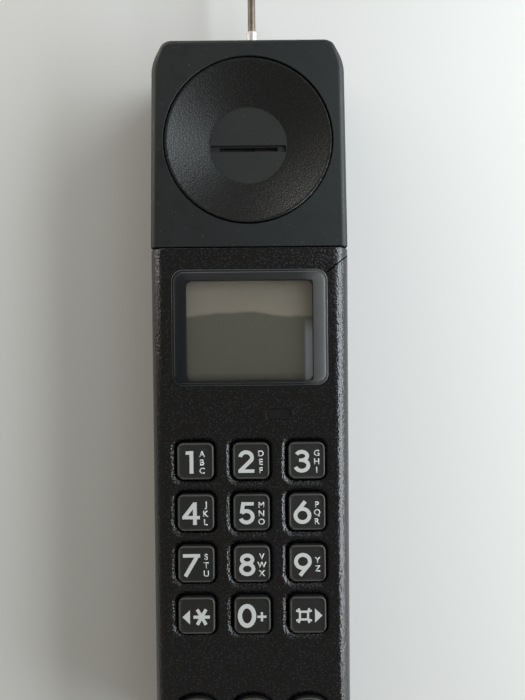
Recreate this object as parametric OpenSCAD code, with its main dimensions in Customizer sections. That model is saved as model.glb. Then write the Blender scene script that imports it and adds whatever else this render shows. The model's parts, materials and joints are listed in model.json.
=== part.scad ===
// Slim hand-held cordless phone: sloping head with a dished earpiece, raised display lens,
// twelve square keys, three oval keys, pull-out whip antenna and a slide-off battery pack.
// Frame: +Z out of the front face, +Y towards the antenna, +X to the right, millimetres.
// Origin: middle of the flat back that the phone lies on.

/* [Handset] */
// Width of the main body
body_w = 53; // [50:0.5:64]
// Height of the front face above the back
body_t = 27; // [27:0.5:34]
// Length of the head section, above the seam
head_len = 56.4; // [54:0.2:66]
// How much narrower the head is than the body
head_inset = 0.6; // [0:0.1:2]
// Step from the front face down to the head's face at the seam
head_step = 0.2; // [0:0.1:1]
// Slope of the head's face, degrees
head_tilt = 2; // [0:0.5:2.5]
// Thickness of the shells' side walls
wall = 2; // [1.6:0.1:2.2]
// Thickness of the front face
face_wall = 2.6; // [2.4:0.1:3]
// Radius of the long front edges
front_r = 4.5; // [3:0.5:6]
// Radius of the long rear edges
rear_r = 3.5; // [2:0.5:5]
// Radius of the lower corners, seen from the front
foot_r = 7; // [4:0.5:9]
// Cut of the head's corners across the width
horn_x = 3.2; // [1:0.1:4]
// Cut of the head's corners along the length
horn_y = 6.4; // [3:0.1:7]
// Gap at the seam between head and body
seam_gap = 0.3; // [0.2:0.1:0.6]
// Length from the oval keys' centres to the lower end
chin_len = 23; // [22:0.5:32]

/* [Earpiece] */
// Radius of the ring groove round the earpiece
ear_r = 22.4; // [18:0.1:22.6]
// Width of the ring groove
ear_groove = 0.6; // [0.3:0.1:0.8]
// Distance from the top of the head to the earpiece's centre
ear_drop = 27.6; // [25:0.1:30]
// Radius of the flat disc in the dish
dish_r = 10.5; // [8:0.1:13]
// Depth of the dish
dish_depth = 4; // [2:0.1:4.5]
// Thickness of the earpiece insert
ear_t = 1.2; // [1:0.1:1.6]
// Width of the channel across the disc
channel_w = 20.6; // [17:0.1:20.6]
// Height of the channel across the disc
channel_h = 1.9; // [1.4:0.1:2.4]
// Distance of the channel below the disc's centre
channel_drop = 0.95; // [0:0.05:1.5]
// Width of the sound slot in the channel
slot_w = 16; // [12:0.1:16.8]
// Height of the sound slot
slot_h = 1.1; // [0.8:0.1:1.3]
// Radius of the speaker
speaker_r = 14; // [12:0.5:15]
// Thickness of the speaker
speaker_t = 4.2; // [3:0.1:4.8]

/* [Display] */
// Width of the display lens
lens_w = 41.1; // [36:0.1:43]
// Height of the display lens, along the phone
lens_h = 30.6; // [28:0.1:38]
// Corner radius of the display lens
lens_r = 3; // [1:0.1:5]
// Rise of the lens above the front face
lens_rise = 1; // [0.2:0.1:1.5]
// Depth of the lens's seat below the front face
lens_seat = 1.4; // [1:0.1:1.6]
// Distance from the seam to the lens
lens_gap = 5.9; // [5:0.1:9]
// Width of the window behind the lens
window_w = 33; // [26:0.1:34]
// Height of the window behind the lens
window_h = 27; // [20:0.1:27.2]
// How far the window sits below the lens's centre
window_drop = 1.1; // [0:0.1:1.2]

/* [Keypad] */
// Side of a square key
key_size = 9.6; // [8:0.1:10.4]
// Corner radius of a square key
key_r = 1.7; // [0.5:0.1:3]
// Spacing of the key columns
key_pitch_x = 14.6; // [13.6:0.1:15]
// Spacing of the key rows
key_pitch_y = 13.5; // [13:0.1:17]
// Distance from the lens to the first row's centre
keypad_gap = 19.7; // [18:0.1:26]
// Distance from the last row to the oval keys' centres
oval_gap = 24.5; // [16:0.1:30]
// Width of an oval key
oval_w = 10; // [8:0.1:10.4]
// Height of an oval key
oval_h = 5.6; // [4:0.1:8]
// Width of a key's well beyond the key, each side
well_margin = 1.6; // [1.2:0.05:1.7]
// Depth of a key's well
well_depth = 1.2; // [0.6:0.1:1.4]
// Clearance round a key in its hole
key_clear = 0.2; // [0.15:0.05:0.35]
// Rise of the keys above the front face
key_rise = 0.4; // [0:0.1:1]
// Travel of a key
key_travel = 1; // [0.6:0.1:1.4]

/* [Antenna] */
// Diameter of the whip
whip_d = 2.2; // [1.6:0.1:2.4]
// Height of the antenna's axis above the back
ant_z = 12; // [11.8:0.1:12.2]
// Offset of the antenna's axis from the centre line
ant_x = 1; // [-3:0.5:3]
// Outer diameter of the bush's collar
collar_d = 3.1; // [3:0.1:5]
// Length of the bush's collar
collar_len = 8.6; // [1:0.1:10]
// Length of the whip's cap
tip_len = 8; // [5:0.5:12]
// Radial clearance of the whip in its bush
whip_clear = 0.08; // [0.05:0.01:0.1]

/* [Battery] */
// Diameter of a cell
cell_d = 10.2; // [9:0.1:10.2]
// Length of a cell
cell_len = 44.5; // [37:0.5:54]
// Wall of the battery case
bat_wall = 1.8; // [1.4:0.1:2]
// Floor of the battery case
bat_floor = 1.5; // [1.2:0.1:1.8]
// Room for contacts at the top end of the battery case
bat_nose = 7; // [7:0.5:10]
// Gap between battery and handset
bat_gap = 0.3; // [0.2:0.05:0.5]
// Travel of the battery release button
latch_travel = 1.5; // [1:0.1:1.8]

/* [Hidden] */
$fn = 64;

// Layout along the phone
body_len = head_len + lens_gap + lens_h + keypad_gap + 3 * key_pitch_y + oval_gap + chin_len;
y_top = body_len / 2;
y_bot = -body_len / 2;
seam_y = y_top - head_len;
ear_y = y_top - ear_drop;
lens_y = seam_y - lens_gap - lens_h / 2;
window_y = lens_y - window_drop;
row_1_y = lens_y - lens_h / 2 - keypad_gap;
oval_y = row_1_y - 3 * key_pitch_y - oval_gap;
head_w = body_w - head_inset;
function row_y(i) = row_1_y - i * key_pitch_y;
function column_x(i) = (i - 1) * key_pitch_x;

// Heights through the phone, from the front face down
flange_t = 0.8;
flange_gap = 0.3;
flange_out = 0.9;
mat_t = 0.9;
collar_h = 0.9;
press_gap = 0.1;
inner_z = body_t - face_wall;
key_foot_z = inner_z - flange_gap - flange_t;
collar_z = key_foot_z - key_travel - press_gap;
board_z = collar_z - collar_h - mat_t;
board_t = 1.2;
board_low_z = board_z - board_t;

// Heights from the back up
cover_t = 1;
bat_t = bat_floor + cell_d + 0.2 + cover_t;
bay_z = bat_t + bat_gap;
plate_t = 1.6;
plate_z = bay_z + plate_t;
split_z = plate_z + 0.8;
rear_floor = 1.8;
radio_z = 4.8;

// Battery, from the lower end up
bat_len = 2 * bat_wall + bat_nose + 2 * cell_len + 0.8;
bat_y0 = y_bot + 0.2;
bat_y1 = bat_y0 + bat_len;
bay_y = bat_y1 + 0.2;
bay_wall = 2;
cell_room = 1.5 * (cell_d + 0.4) + 0.5;
shelf_z = bat_t - 2.7;
bar_gap = 0.1;

// Battery rails, T-shaped, under the handset's plate
rail_x = body_w / 2 - 5;
rail_neck = 1.6;
rail_head = 3.4;
rail_head_t = 1.1;
rail_drop = 2.2;
rail_clear = 0.3;

// Release latch
latch_y = bay_y + 7.5;
latch_w = 15;
latch_h = 8;
latch_clear = 0.3;
latch_inset = 0.4;
latch_flange = 1.4;
latch_flange_t = 1.2;
tongue_w = 9;
tongue_t = 1.8;
tongue_reach = 4.5;
bridge_z = 8.2;
bridge_t = 0.8;
bridge_post_x = 13;
spring_r = 2.2;
spring_wire = 0.3;

// Antenna
bush_d = 5.6;
bush_len = 6;
tube_d = 4.2;
tube_bore = 3;
sleeve_d = tube_bore - 0.16;
sleeve_len = 6;
contact_len = 8;
bush_y = y_top - bush_len;
tube_y1 = bush_y - contact_len;
tube_y0 = bay_y + bay_wall + 0.5;
sleeve_y = bush_y - 0.2 - sleeve_len;
ant_travel = sleeve_y - tube_y0 - 1.5;
collar_y = y_top + collar_len;
tip_y = collar_y + 0.3 + ant_travel;
tip_d = 3.6;
ant_boss = 4.6;

// Screws: along y, height of the seat, height of the lower boss's top
screw_x = body_w / 2 - 5;
screw_r = 1.1;
screw_head_r = 1.9;
screw_head_t = 1.6;
screw_len = 8;
boss_r = 2.3;
pilot_r = 0.9;
bore_r = 1.3;
sink_r = 2.1;
head_screw_y = y_top - 8.4;
seam_screw_y = seam_y - 2.7;
low_screw_y = y_bot + 6.5;
seat_z = split_z - 2.4;
low_seat_z = bay_z + screw_head_t;
low_boss_z = low_seat_z + 2.4;
post_r = 1.5;
post_x = body_w / 2 - 4.3;

// Boards
main_w = body_w - 2 * wall - 1.6;
main_y0 = y_bot + 11;
main_y1 = seam_y - 5.4;
radio_w = 35.2;
radio_y0 = bay_y + 17;
radio_y1 = y_top - 9;

// Corner of an outline, as an arc, or as a point where the radius is 0
function corner(x, y, r, a, n = 8) =
    r <= 0 ? [[x, y]] : [for (i = [0:n]) [x + r * cos(a + 90 * i / n), y + r * sin(a + 90 * i / n)]];

// Outline with its lower and upper pairs of corners rounded
function outline(x0, x1, y0, y1, low_r, high_r) = concat(
    corner(x1 - high_r, y1 - high_r, high_r, 0),
    corner(x0 + high_r, y1 - high_r, high_r, 90),
    corner(x0 + low_r, y0 + low_r, low_r, 180),
    corner(x1 - low_r, y0 + low_r, low_r, 270)
);

// Oval outline
function oval(w, h, n = 40) = [for (i = [0:n - 1]) [w / 2 * cos(360 * i / n), h / 2 * sin(360 * i / n)]];

// Outline in x and z, drawn out along y
module along_y(y0, y1, points) {
    translate([0, y1, 0]) rotate([90, 0, 0]) linear_extrude(y1 - y0) polygon(points);
}

// Outline in y and z, drawn out along x
module along_x(x0, x1, points) {
    translate([x0, 0, 0]) rotate([90, 0, 90]) linear_extrude(x1 - x0) polygon(points);
}

// Outline in x and y, drawn out along z
module along_z(z0, z1, points) {
    translate([0, 0, z0]) linear_extrude(z1 - z0) polygon(points);
}

module box(x0, x1, y0, y1, z0, z1) {
    translate([x0, y0, z0]) cube([x1 - x0, y1 - y0, z1 - z0]);
}

// Rounded slab centred on x, y
module slab(x, y, w, h, r, z0, z1) {
    translate([x, y, 0]) along_z(z0, z1, outline(-w / 2, w / 2, -h / 2, h / 2, r, r));
}

module oval_slab(x, y, w, h, z0, z1) {
    translate([x, y, 0]) along_z(z0, z1, oval(w, h));
}

module rod(x, y, z0, z1, r) {
    translate([x, y, z0]) cylinder(h = z1 - z0, r = r);
}

// Rod along y on the antenna's axis
module ant_rod(y0, y1, r) {
    translate([ant_x, y1, ant_z]) rotate([90, 0, 0]) cylinder(h = y1 - y0, r = r);
}

module both_sides() {
    children();
    mirror([1, 0, 0]) children();
}

// Places its children on the head's sloping face, over the earpiece's centre
module on_head_face() {
    face_z = body_t - head_step - (ear_y - seam_y) * tan(head_tilt);
    translate([0, ear_y, face_z]) rotate([-head_tilt, 0, 0]) children();
}

// Everything in the body's outline between two heights, shrunk by an inset
module body_block(y0, y1, z0, z1, inset, low_r, high_r, end_r) {
    w = body_w - 2 * inset;
    intersection() {
        along_y(y0, y1, outline(-w / 2, w / 2, z0, z1, low_r, high_r));
        along_z(z0, z1, outline(-w / 2, w / 2, y_bot + inset, y1, foot_r - inset, 0));
        along_x(-w / 2, w / 2, outline(y_bot + inset, y1 + end_r, z0, z1, 0, end_r));
    }
}

// Plan of the head, with its corners cut
function head_plan(inset) = let (
    x = head_w / 2 - inset,
    y = y_top - inset,
    cut_x = horn_x - inset / 2,
    cut_y = horn_y - inset / 2
) [
    [-x, seam_y - 5], [x, seam_y - 5], [x, y - cut_y], [x - 0.35 * cut_x, y - 0.42 * cut_y],
    [x - cut_x, y], [-x + cut_x, y], [-x + 0.35 * cut_x, y - 0.42 * cut_y], [-x, y - cut_y]
];

// The head's outline between two heights, shrunk by an inset, under its sloping face
module head_block(y0, z0, z1, inset, low_r, high_r) {
    w = head_w - 2 * inset;
    drop = (y_top - seam_y) * tan(head_tilt);
    end_y = y_top - inset;
    intersection() {
        along_y(y0, end_y, outline(-w / 2, w / 2, z0, z1, low_r, high_r));
        along_z(z0, z1, head_plan(inset));
        along_x(-w / 2, w / 2, [
            [y0, z0], [end_y, z0], [end_y, z1 - drop - 1.6], [end_y - 0.5, z1 - drop - 0.5],
            [end_y - 1.6, z1 - drop], [y0, z1]
        ]);
    }
}

module case_bosses(z0, z1, spots) {
    for (y = spots) both_sides() rod(screw_x, y, z0, z1, boss_r);
}

// Front shell, with the display's seat, the keys' wells and the screw bosses
module front_shell() {
    y1 = seam_y - seam_gap / 2;
    color("#26252b") difference() {
        union() {
            difference() {
                body_block(y_bot, y1, split_z, body_t, 0, 0, front_r, 3);
                body_block(y_bot, y1 - 1.6, split_z - 1, inner_z, wall, 0, front_r - wall, 0.5);
            }
            case_bosses(split_z, inner_z + 0.5, [seam_screw_y]);
            case_bosses(low_boss_z, inner_z + 0.5, [low_screw_y]);
        }
        slab(0, lens_y, lens_w + 0.2, lens_h + 0.2, lens_r, body_t - lens_seat, body_t + 1);
        slab(0, window_y, window_w, window_h, 1.5, inner_z - 1, body_t);
        for (r = [0:3], c = [0:2]) {
            well = key_size + 2 * well_margin;
            hole = key_size + 2 * key_clear;
            slab(column_x(c), row_y(r), well, well, key_r + 1, body_t - well_depth, body_t + 1);
            slab(column_x(c), row_y(r), hole, hole, key_r, inner_z - 1, body_t);
        }
        for (c = [0:2]) {
            oval_slab(column_x(c), oval_y, oval_w + 2 * well_margin, oval_h + 2 * well_margin,
                body_t - well_depth, body_t + 1);
            oval_slab(column_x(c), oval_y, oval_w + 2 * key_clear, oval_h + 2 * key_clear,
                inner_z - 1, body_t);
        }
        indicator_cut();
        slab(0, mic_y, 8, 1.2, 0.55, inner_z - 1, body_t + 1);
        box(-plug_w / 2 - 0.2, plug_w / 2 + 0.2, y_bot - 1, y_bot + 4, split_z - 1, board_low_z + 0.2);
        box(-9, 9, seam_y - 3, seam_y + 1, split_z - 1, split_z + 4);
        for (y = [seam_screw_y, low_screw_y]) both_sides() {
            rod(screw_x, y, split_z - 1, inner_z, pilot_r);
        }
    }
}

indicator_x = key_pitch_x / 2;
indicator_y = lens_y - lens_h / 2 - 7.6;
mic_y = y_bot + 8;
plug_w = 18;

module indicator_cut() {
    slab(indicator_x, indicator_y, 6.8, 3.1, 1.5, body_t - 0.6, body_t + 1);
    slab(indicator_x, indicator_y, 5.2, 1.8, 0.85, inner_z - 1, body_t);
}

// Head cover, with the earpiece's seat
module head_cover() {
    y0 = seam_y + seam_gap / 2;
    z1 = body_t - head_step;
    color("#343a3b") difference() {
        union() {
            difference() {
                head_block(y0, split_z, z1, 0, 0, 3);
                head_block(y0 + 1.6, split_z - 1, z1 - 2.2, wall, 0, 1);
            }
            intersection() {
                case_bosses(split_z, body_t, [head_screw_y]);
                head_block(y0, split_z, z1 - 1, 1, 0, 2);
            }
        }
        on_head_face() {
            rod(0, 0, -1.4, 3, ear_r + ear_groove / 2);
            rod(0, 0, -12, 0, ear_r - 1);
        }
        box(-9, 9, seam_y - 1, seam_y + 3, split_z - 1, split_z + 4);
        both_sides() rod(screw_x, head_screw_y, split_z - 1, inner_z - 3, pilot_r);
    }
}

// Rear shell: a deep upper half, and a plate with rails over the battery
module rear_shell() {
    color("#1f1f24") difference() {
        union() {
            rear_skin();
            for (y = [head_screw_y, seam_screw_y]) both_sides() rod(screw_x, y, 0.5, split_z, boss_r);
            both_sides() rod(screw_x, low_screw_y, bay_z, low_boss_z, boss_r);
            for (y = [radio_y0 - 3, seam_y - 9]) both_sides() rod(post_x, y, 1, board_low_z, post_r);
            for (i = [0:2]) both_sides() {
                rod(post_x, row_y(0) - i * 2.4 * key_pitch_y, plate_z - 0.5, board_low_z, post_r);
            }
            for (y = [radio_y0 + 3, radio_y1 - 12]) both_sides() {
                rod(radio_w / 2 - 2, y, 1, radio_z, post_r);
            }
            both_sides() rod(bridge_post_x, latch_y, 1, bridge_z, post_r);
            box(ant_x - ant_boss, ant_x + ant_boss, bush_y, y_top - 1, 1, split_z);
            both_sides() rail(0);
        }
        for (y = [head_screw_y, seam_screw_y]) both_sides() {
            rod(screw_x, y, -1, seat_z, sink_r);
            rod(screw_x, y, 0, split_z + 1, bore_r);
        }
        both_sides() rod(screw_x, low_screw_y, bay_z - 1, low_seat_z, sink_r);
        both_sides() rod(screw_x, low_screw_y, bay_z, low_boss_z + 1, bore_r);
        slab(0, latch_y, latch_w + 2 * latch_clear, latch_h + 2 * latch_clear, 2, -1, rear_floor + 1);
        box(-tongue_w / 2 - 0.4, tongue_w / 2 + 0.4, bay_y - 1, bay_y + bay_wall + 1,
            tongue_z - 0.3, tongue_z + tongue_t + latch_travel + 0.3);
        for (x = pad_xs) {
            box(x - 0.9, x + 0.9, bay_y - 1, bay_y + bay_wall + 1, blade_z - 0.2, blade_z + 1);
        }
        ant_rod(bush_y - 1, y_top + 1, bush_d / 2);
        for (a = [0:60:300]) rod(buzzer_x + 3 * cos(a), buzzer_y + 3 * sin(a), -1, rear_floor + 1, 0.6);
        rod(buzzer_x, buzzer_y, -1, rear_floor + 1, 0.6);
    }
}

buzzer_x = 0;
buzzer_y = radio_y1 - 14;
blade_z = 6;
tongue_z = rear_floor + 0.2 + latch_flange_t;
pad_xs = [11, 13.9, 16.8];
pad_w = 2.2;

// Outer skin of the rear shell: body and head outlines, less the bay and the hollows
module rear_skin() {
    difference() {
        union() {
            body_block(y_bot, seam_y, 0, split_z, 0, rear_r, 0, 0);
            head_block(seam_y - 1, 0, split_z + 20, 0, rear_r, 1);
        }
        box(-body_w, body_w, y_bot - 1, bay_y, -1, bay_z);
        box(-body_w, body_w, y_bot - 1, y_top + 1, split_z, body_t + 20);
        body_block(y_bot, seam_y - 2, plate_z, split_z + 1, wall, 0, 0, 0);
        body_block(bay_y, seam_y - 2, rear_floor, split_z + 1, wall, rear_r - wall, 0, 0);
        head_block(seam_y - 3, rear_floor, split_z + 20, wall, rear_r - wall, 1);
    }
    box(-body_w / 2 + 1, body_w / 2 - 1, bay_y, bay_y + bay_wall, rear_floor - 1, plate_z);
}

// One T-shaped rail, or its slot when grown by a clearance
module rail(grow) {
    z = bay_z - rail_drop;
    y0 = y_bot + 9 - 2 * grow;
    y1 = bay_y + (grow > 0 ? 1 : 0.5);
    neck = rail_neck / 2 + grow;
    head = rail_head / 2 + grow;
    box(rail_x - head, rail_x + head, y0, y1, z - grow, z + rail_head_t + grow);
    box(rail_x - neck, rail_x + neck, y0, y1, z, bay_z + (grow > 0 ? 1 : 0.5));
}

// Dished earpiece insert with its sound slot
module earpiece_insert() {
    r = ear_r - ear_groove / 2;
    color("#2f3537") on_head_face() difference() {
        rotate_extrude() polygon([
            [0, -dish_depth], [dish_r, -dish_depth], [dish_r + 0.7, -dish_depth + 0.1],
            [r - 0.6, -0.2], [r - 0.4, 0], [r, 0], [r, -1.4], [r - 1.3, -1.4],
            [dish_r + 1, -dish_depth - ear_t], [0, -dish_depth - ear_t]
        ]);
        slab(0, -channel_drop, channel_w, channel_h, 0.3, -dish_depth - ear_t / 2, -dish_depth + 1);
        slab(0, -channel_drop, slot_w, slot_h, 0.3, -dish_depth - ear_t - 1, -dish_depth);
    }
}

module speaker_gasket() {
    z = -dish_depth - ear_t;
    color("#3a3a3a") on_head_face() difference() {
        rod(0, 0, z - 0.7, z, dish_r + 0.5);
        rod(0, 0, z - 1, z + 1, dish_r - 2);
    }
}

module speaker_capsule() {
    z = -dish_depth - ear_t - 0.7;
    color("#8d9296") on_head_face() difference() {
        union() {
            rod(0, 0, z - 2, z, speaker_r);
            rod(0, 0, z - speaker_t, z - 2, speaker_r - 3);
        }
        rod(0, 0, z - 0.6, z + 1, dish_r - 2);
    }
}

// Clear lens, raised above the face with a bevelled edge
module display_lens() {
    z0 = body_t - lens_seat;
    z1 = body_t + lens_rise;
    color("#9aa4ad") {
        slab(0, lens_y, lens_w, lens_h, lens_r, z0, z1 - 0.6);
        slab(0, lens_y, lens_w - 1, lens_h - 1, lens_r - 0.5, z1 - 0.6, z1);
    }
}

lcd_t = 1.9;
lcd_w = window_w + 3.6;
lcd_h = window_h + 4;
guide_t = inner_z - board_z - lcd_t - 0.3;

module lcd_frame() {
    color("#d8d8d2") difference() {
        slab(0, window_y, lcd_w + 2.4, lcd_h + 2, 1, board_z, inner_z - 0.1);
        slab(0, window_y, lcd_w + 0.2, lcd_h + 0.2, 0.3, board_z - 1, inner_z + 1);
    }
}

module lcd_panel() {
    z = board_z + guide_t;
    color("#6f6b5f") {
        slab(0, window_y, lcd_w, lcd_h, 0.3, z, z + lcd_t / 2);
        slab(0, window_y, lcd_w, lcd_h - 2.4, 0.3, z + lcd_t / 2, z + lcd_t);
    }
}

module light_guide() {
    color("#e4e6df") slab(0, window_y, lcd_w - 1, lcd_h - 4.6, 0.3, board_z, board_z + guide_t);
}

module contact_strips() {
    color("#b9a24a") for (s = [-1, 1]) {
        slab(0, window_y + s * (lcd_h / 2 - 1.1), lcd_w - 2, 1.6, 0.2, board_z, board_z + guide_t);
    }
}

module indicator_lens() {
    color("#3b2426") {
        slab(indicator_x, indicator_y, 6.4, 2.7, 1.3, body_t - 0.6, body_t - 0.3);
        slab(indicator_x, indicator_y, 4.8, 1.4, 0.65, board_z + 1, body_t - 0.6);
    }
}

led_t = 0.8;
led_hole = 2.4;

// Places its children over each light under the keys
module over_leds() {
    for (r = [0.5, 1.5, 2.5], x = [-0.5, 0.5]) translate([x * key_pitch_x, row_y(r), 0]) children();
}

module board_leds() {
    color("#c9d27a") {
        over_leds() slab(0, 0, 1.6, 1, 0.1, board_z, board_z + led_t);
        slab(indicator_x, indicator_y, 1.6, 1, 0.1, board_z, board_z + led_t);
    }
}

// Soft mat under the keys, with a ring under each key
module keypad_mat() {
    y1 = row_y(0) + key_size / 2 + 2.2;
    y0 = oval_y - oval_h / 2 - 2.4;
    color("#4b4d52") difference() {
        union() {
            slab(0, (y0 + y1) / 2, 2 * key_pitch_x + key_size + 4.4, y1 - y0, 2, board_z, board_z + mat_t);
            for (r = [0:3], c = [0:2]) rod(column_x(c), row_y(r), board_z, collar_z, 3.6);
            for (c = [0:2]) rod(column_x(c), oval_y, board_z, collar_z, 2.4);
        }
        for (r = [0:3], c = [0:2]) rod(column_x(c), row_y(r), board_z + mat_t, collar_z + 1, 2.2);
        over_leds() slab(0, 0, led_hole, led_hole, 0.3, board_z - 1, board_z + 5);
    }
}

module main_board() {
    color("#2f6b43") difference() {
        slab(0, (main_y0 + main_y1) / 2, main_w, main_y1 - main_y0, 1, board_low_z, board_z);
        for (s = [-1, 1]) slab(s * main_w / 2, indicator_y, 3, 4, 0.5, board_low_z - 1, board_z + 1);
    }
}

module radio_board() {
    color("#2f6b43") {
        slab(0, (radio_y0 + radio_y1) / 2, radio_w, radio_y1 - radio_y0, 1, radio_z, radio_z + board_t);
    }
}

stack_y = radio_y0 + 4;

module board_connector() {
    color("#26282b") slab(-12, stack_y, 9, 4, 0.3, radio_z + board_t, board_low_z);
}

// Open box of thin sheet, its rim at one height and its lid at the other
module shield(x0, x1, y0, y1, z0, z1, sheet, lid_low) {
    color("#b7bbbd") difference() {
        box(x0, x1, y0, y1, z0, z1);
        box(x0 + sheet, x1 - sheet, y0 + sheet, y1 - sheet,
            lid_low ? z0 + sheet : z0 - 1, lid_low ? z1 + 1 : z1 - sheet);
    }
}

module logic_shield() {
    shield(-15, 15, row_y(3) - 6, row_y(0), plate_z + 0.6, board_low_z, 0.4, true);
}

module radio_shield() {
    z = radio_z + board_t;
    shield(-15, 15, stack_y + 6, radio_y1 - 8, z, ant_z - tube_d / 2 - 0.6, 0.4, false);
}

mic_r = 3;
boot_r = 4.2;

module microphone() {
    color("#a9adaf") rod(0, mic_y, inner_z - 3.6, inner_z - 1, mic_r);
}

module microphone_boot() {
    color("#2b2b2b") difference() {
        rod(0, mic_y, inner_z - 3.6, inner_z, boot_r);
        rod(0, mic_y, inner_z - 4, inner_z - 1, mic_r);
        slab(0, mic_y, 5, 1.2, 0.55, inner_z - 2, inner_z + 1);
    }
}

module buzzer() {
    color("#b08d45") rod(buzzer_x, buzzer_y, rear_floor, radio_z - 0.2, 6.2);
}

module backup_cell() {
    color("#c3c6c8") rod(11, seam_y - 24, board_low_z - 2, board_low_z, 6.2);
}

// Threaded bush in the top of the rear shell
module antenna_bush() {
    color("#c9c7c1") difference() {
        union() {
            ant_rod(bush_y, y_top, bush_d / 2);
            ant_rod(y_top, collar_y, collar_d / 2);
        }
        ant_rod(bush_y - 1, collar_y + 1, whip_d / 2 + whip_clear);
    }
}

module antenna_tube() {
    color("#dcdcd6") difference() {
        ant_rod(tube_y0, tube_y1, tube_d / 2);
        ant_rod(tube_y0 + 1, tube_y1 + 1, tube_bore / 2);
    }
}

// Contact that the whip's sleeve slides in, with a leg down to the radio board
module antenna_contact() {
    z = radio_z + board_t;
    color("#c8a951") difference() {
        union() {
            ant_rod(tube_y1, bush_y, tube_d / 2 + 0.4);
            box(ant_x - 1.5, ant_x + 1.5, tube_y1, tube_y1 + 3, z, ant_z);
        }
        ant_rod(tube_y1 - 1, bush_y + 1, tube_bore / 2);
    }
}

// Bottom socket, open at the lower end of the phone
module pin_row(grow) {
    for (i = [-3:3]) {
        box(i * 1.9 - 0.4 - grow, i * 1.9 + 0.4 + grow, y_bot + 3, y_bot + 14, plug_z + 0.4, plug_z + 0.8);
    }
}

plug_z = split_z + 0.1;

module system_connector() {
    color("#1b1c1e") difference() {
        box(-plug_w / 2, plug_w / 2, y_bot + 0.6, y_bot + 13, plug_z, board_low_z);
        box(-plug_w / 2 + 1.4, plug_w / 2 - 1.4, y_bot - 1, y_bot + 7, plug_z + 0.8, board_low_z - 0.7);
        pin_row(0);
    }
}

module connector_pins() {
    color("#c8a951") pin_row(0);
}

// Block behind the bay's end wall that holds the three blades
module battery_connector() {
    y = bay_y + bay_wall;
    color("#1b1c1e") difference() {
        box(pad_xs[0] - 1.2, pad_xs[2] + 1.2, y + 0.1, y + 3.1, rear_floor, blade_z + 1.8);
        blades();
    }
}

module blades() {
    for (x = pad_xs) {
        box(x - 0.7, x + 0.7, bat_y1, bay_y + bay_wall + 2.4, blade_z, blade_z + 0.8);
    }
}

module battery_springs() {
    color("#c8a951") blades();
}

// Self-tapping screws, all the same, on two heights of seat
module screw(x, y, z) {
    rod(x, y, z - screw_head_t, z, screw_head_r);
    rod(x, y, z, z + screw_len, pilot_r - 0.05);
}

module case_screws() {
    color("#9a9c9e") both_sides() {
        screw(screw_x, head_screw_y, seat_z);
        screw(screw_x, seam_screw_y, seat_z);
        screw(screw_x, low_screw_y, low_seat_z);
    }
}

// A square key, its flange held under the front face
module square_key(column, row) {
    color("#2a2b2f") {
        slab(column_x(column), row_y(row), key_size, key_size, key_r,
            key_foot_z + flange_t, body_t + key_rise);
        slab(column_x(column), row_y(row), key_size + 2 * flange_out, key_size + 2 * flange_out, key_r,
            key_foot_z, key_foot_z + flange_t);
    }
}

module oval_key(column) {
    color("#2a2b2f") {
        oval_slab(column_x(column), oval_y, oval_w, oval_h, key_foot_z + flange_t, body_t + key_rise);
        oval_slab(column_x(column), oval_y, oval_w + 2 * flange_out, oval_h + 2 * flange_out,
            key_foot_z, key_foot_z + flange_t);
    }
}

module key_1() { square_key(0, 0); }
module key_2() { square_key(1, 0); }
module key_3() { square_key(2, 0); }
module key_4() { square_key(0, 1); }
module key_5() { square_key(1, 1); }
module key_6() { square_key(2, 1); }
module key_7() { square_key(0, 2); }
module key_8() { square_key(1, 2); }
module key_9() { square_key(2, 2); }
module key_star() { square_key(0, 3); }
module key_0() { square_key(1, 3); }
module key_hash() { square_key(2, 3); }
module key_end() { oval_key(0); }
module key_menu() { oval_key(1); }
module key_call() { oval_key(2); }

// Whip, fully pulled out: its sleeve stops under the bush
module antenna_whip() {
    color("#8a6247") ant_rod(sleeve_y + 1, tip_y + 2, whip_d / 2);
}

module antenna_sleeve() {
    color("#c9c7c1") difference() {
        ant_rod(sleeve_y, sleeve_y + sleeve_len, sleeve_d / 2);
        ant_rod(sleeve_y + 1, sleeve_y + sleeve_len + 1, whip_d / 2);
    }
}

module antenna_tip() {
    color("#232326") difference() {
        union() {
            ant_rod(tip_y, tip_y + tip_len - tip_d / 2, tip_d / 2);
            translate([ant_x, tip_y + tip_len - tip_d / 2, ant_z]) sphere(r = tip_d / 2);
        }
        ant_rod(tip_y - 1, tip_y + 2, whip_d / 2);
    }
}

// Battery case: a tub with a room for the cells and a nose for the contacts
module battery_case() {
    w = body_w / 2;
    y_in = bat_y1 - bat_wall;
    color("#222227") difference() {
        intersection() {
            along_y(bat_y0, bat_y1, outline(-w, w, 0, bat_t, rear_r, 0));
            along_z(0, bat_t, outline(-w, w, bat_y0, bat_y1, foot_r, 0));
        }
        box(-cell_room, cell_room, bat_y0 + bat_wall, y_in, bat_floor, bat_t + 1);
        both_sides() {
            box(cell_room + bat_wall, w - bat_wall, bat_y0 + foot_r, y_in, bat_floor, bat_t + 1);
        }
        cover_space(bar_gap);
        both_sides() rail(rail_clear);
        box(-tongue_w / 2 - 0.5, tongue_w / 2 + 0.5, bay_y - tongue_reach - 0.7, bat_y1 + 1,
            tongue_z - 0.5, tongue_z + tongue_t + latch_travel + 0.5);
        contact_pads(1);
        for (i = [0:4]) box(-16, 16, bat_y1 - 14 - 3 * i, bat_y1 - 12.6 - 3 * i, -1, 0.5);
    }
}

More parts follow.
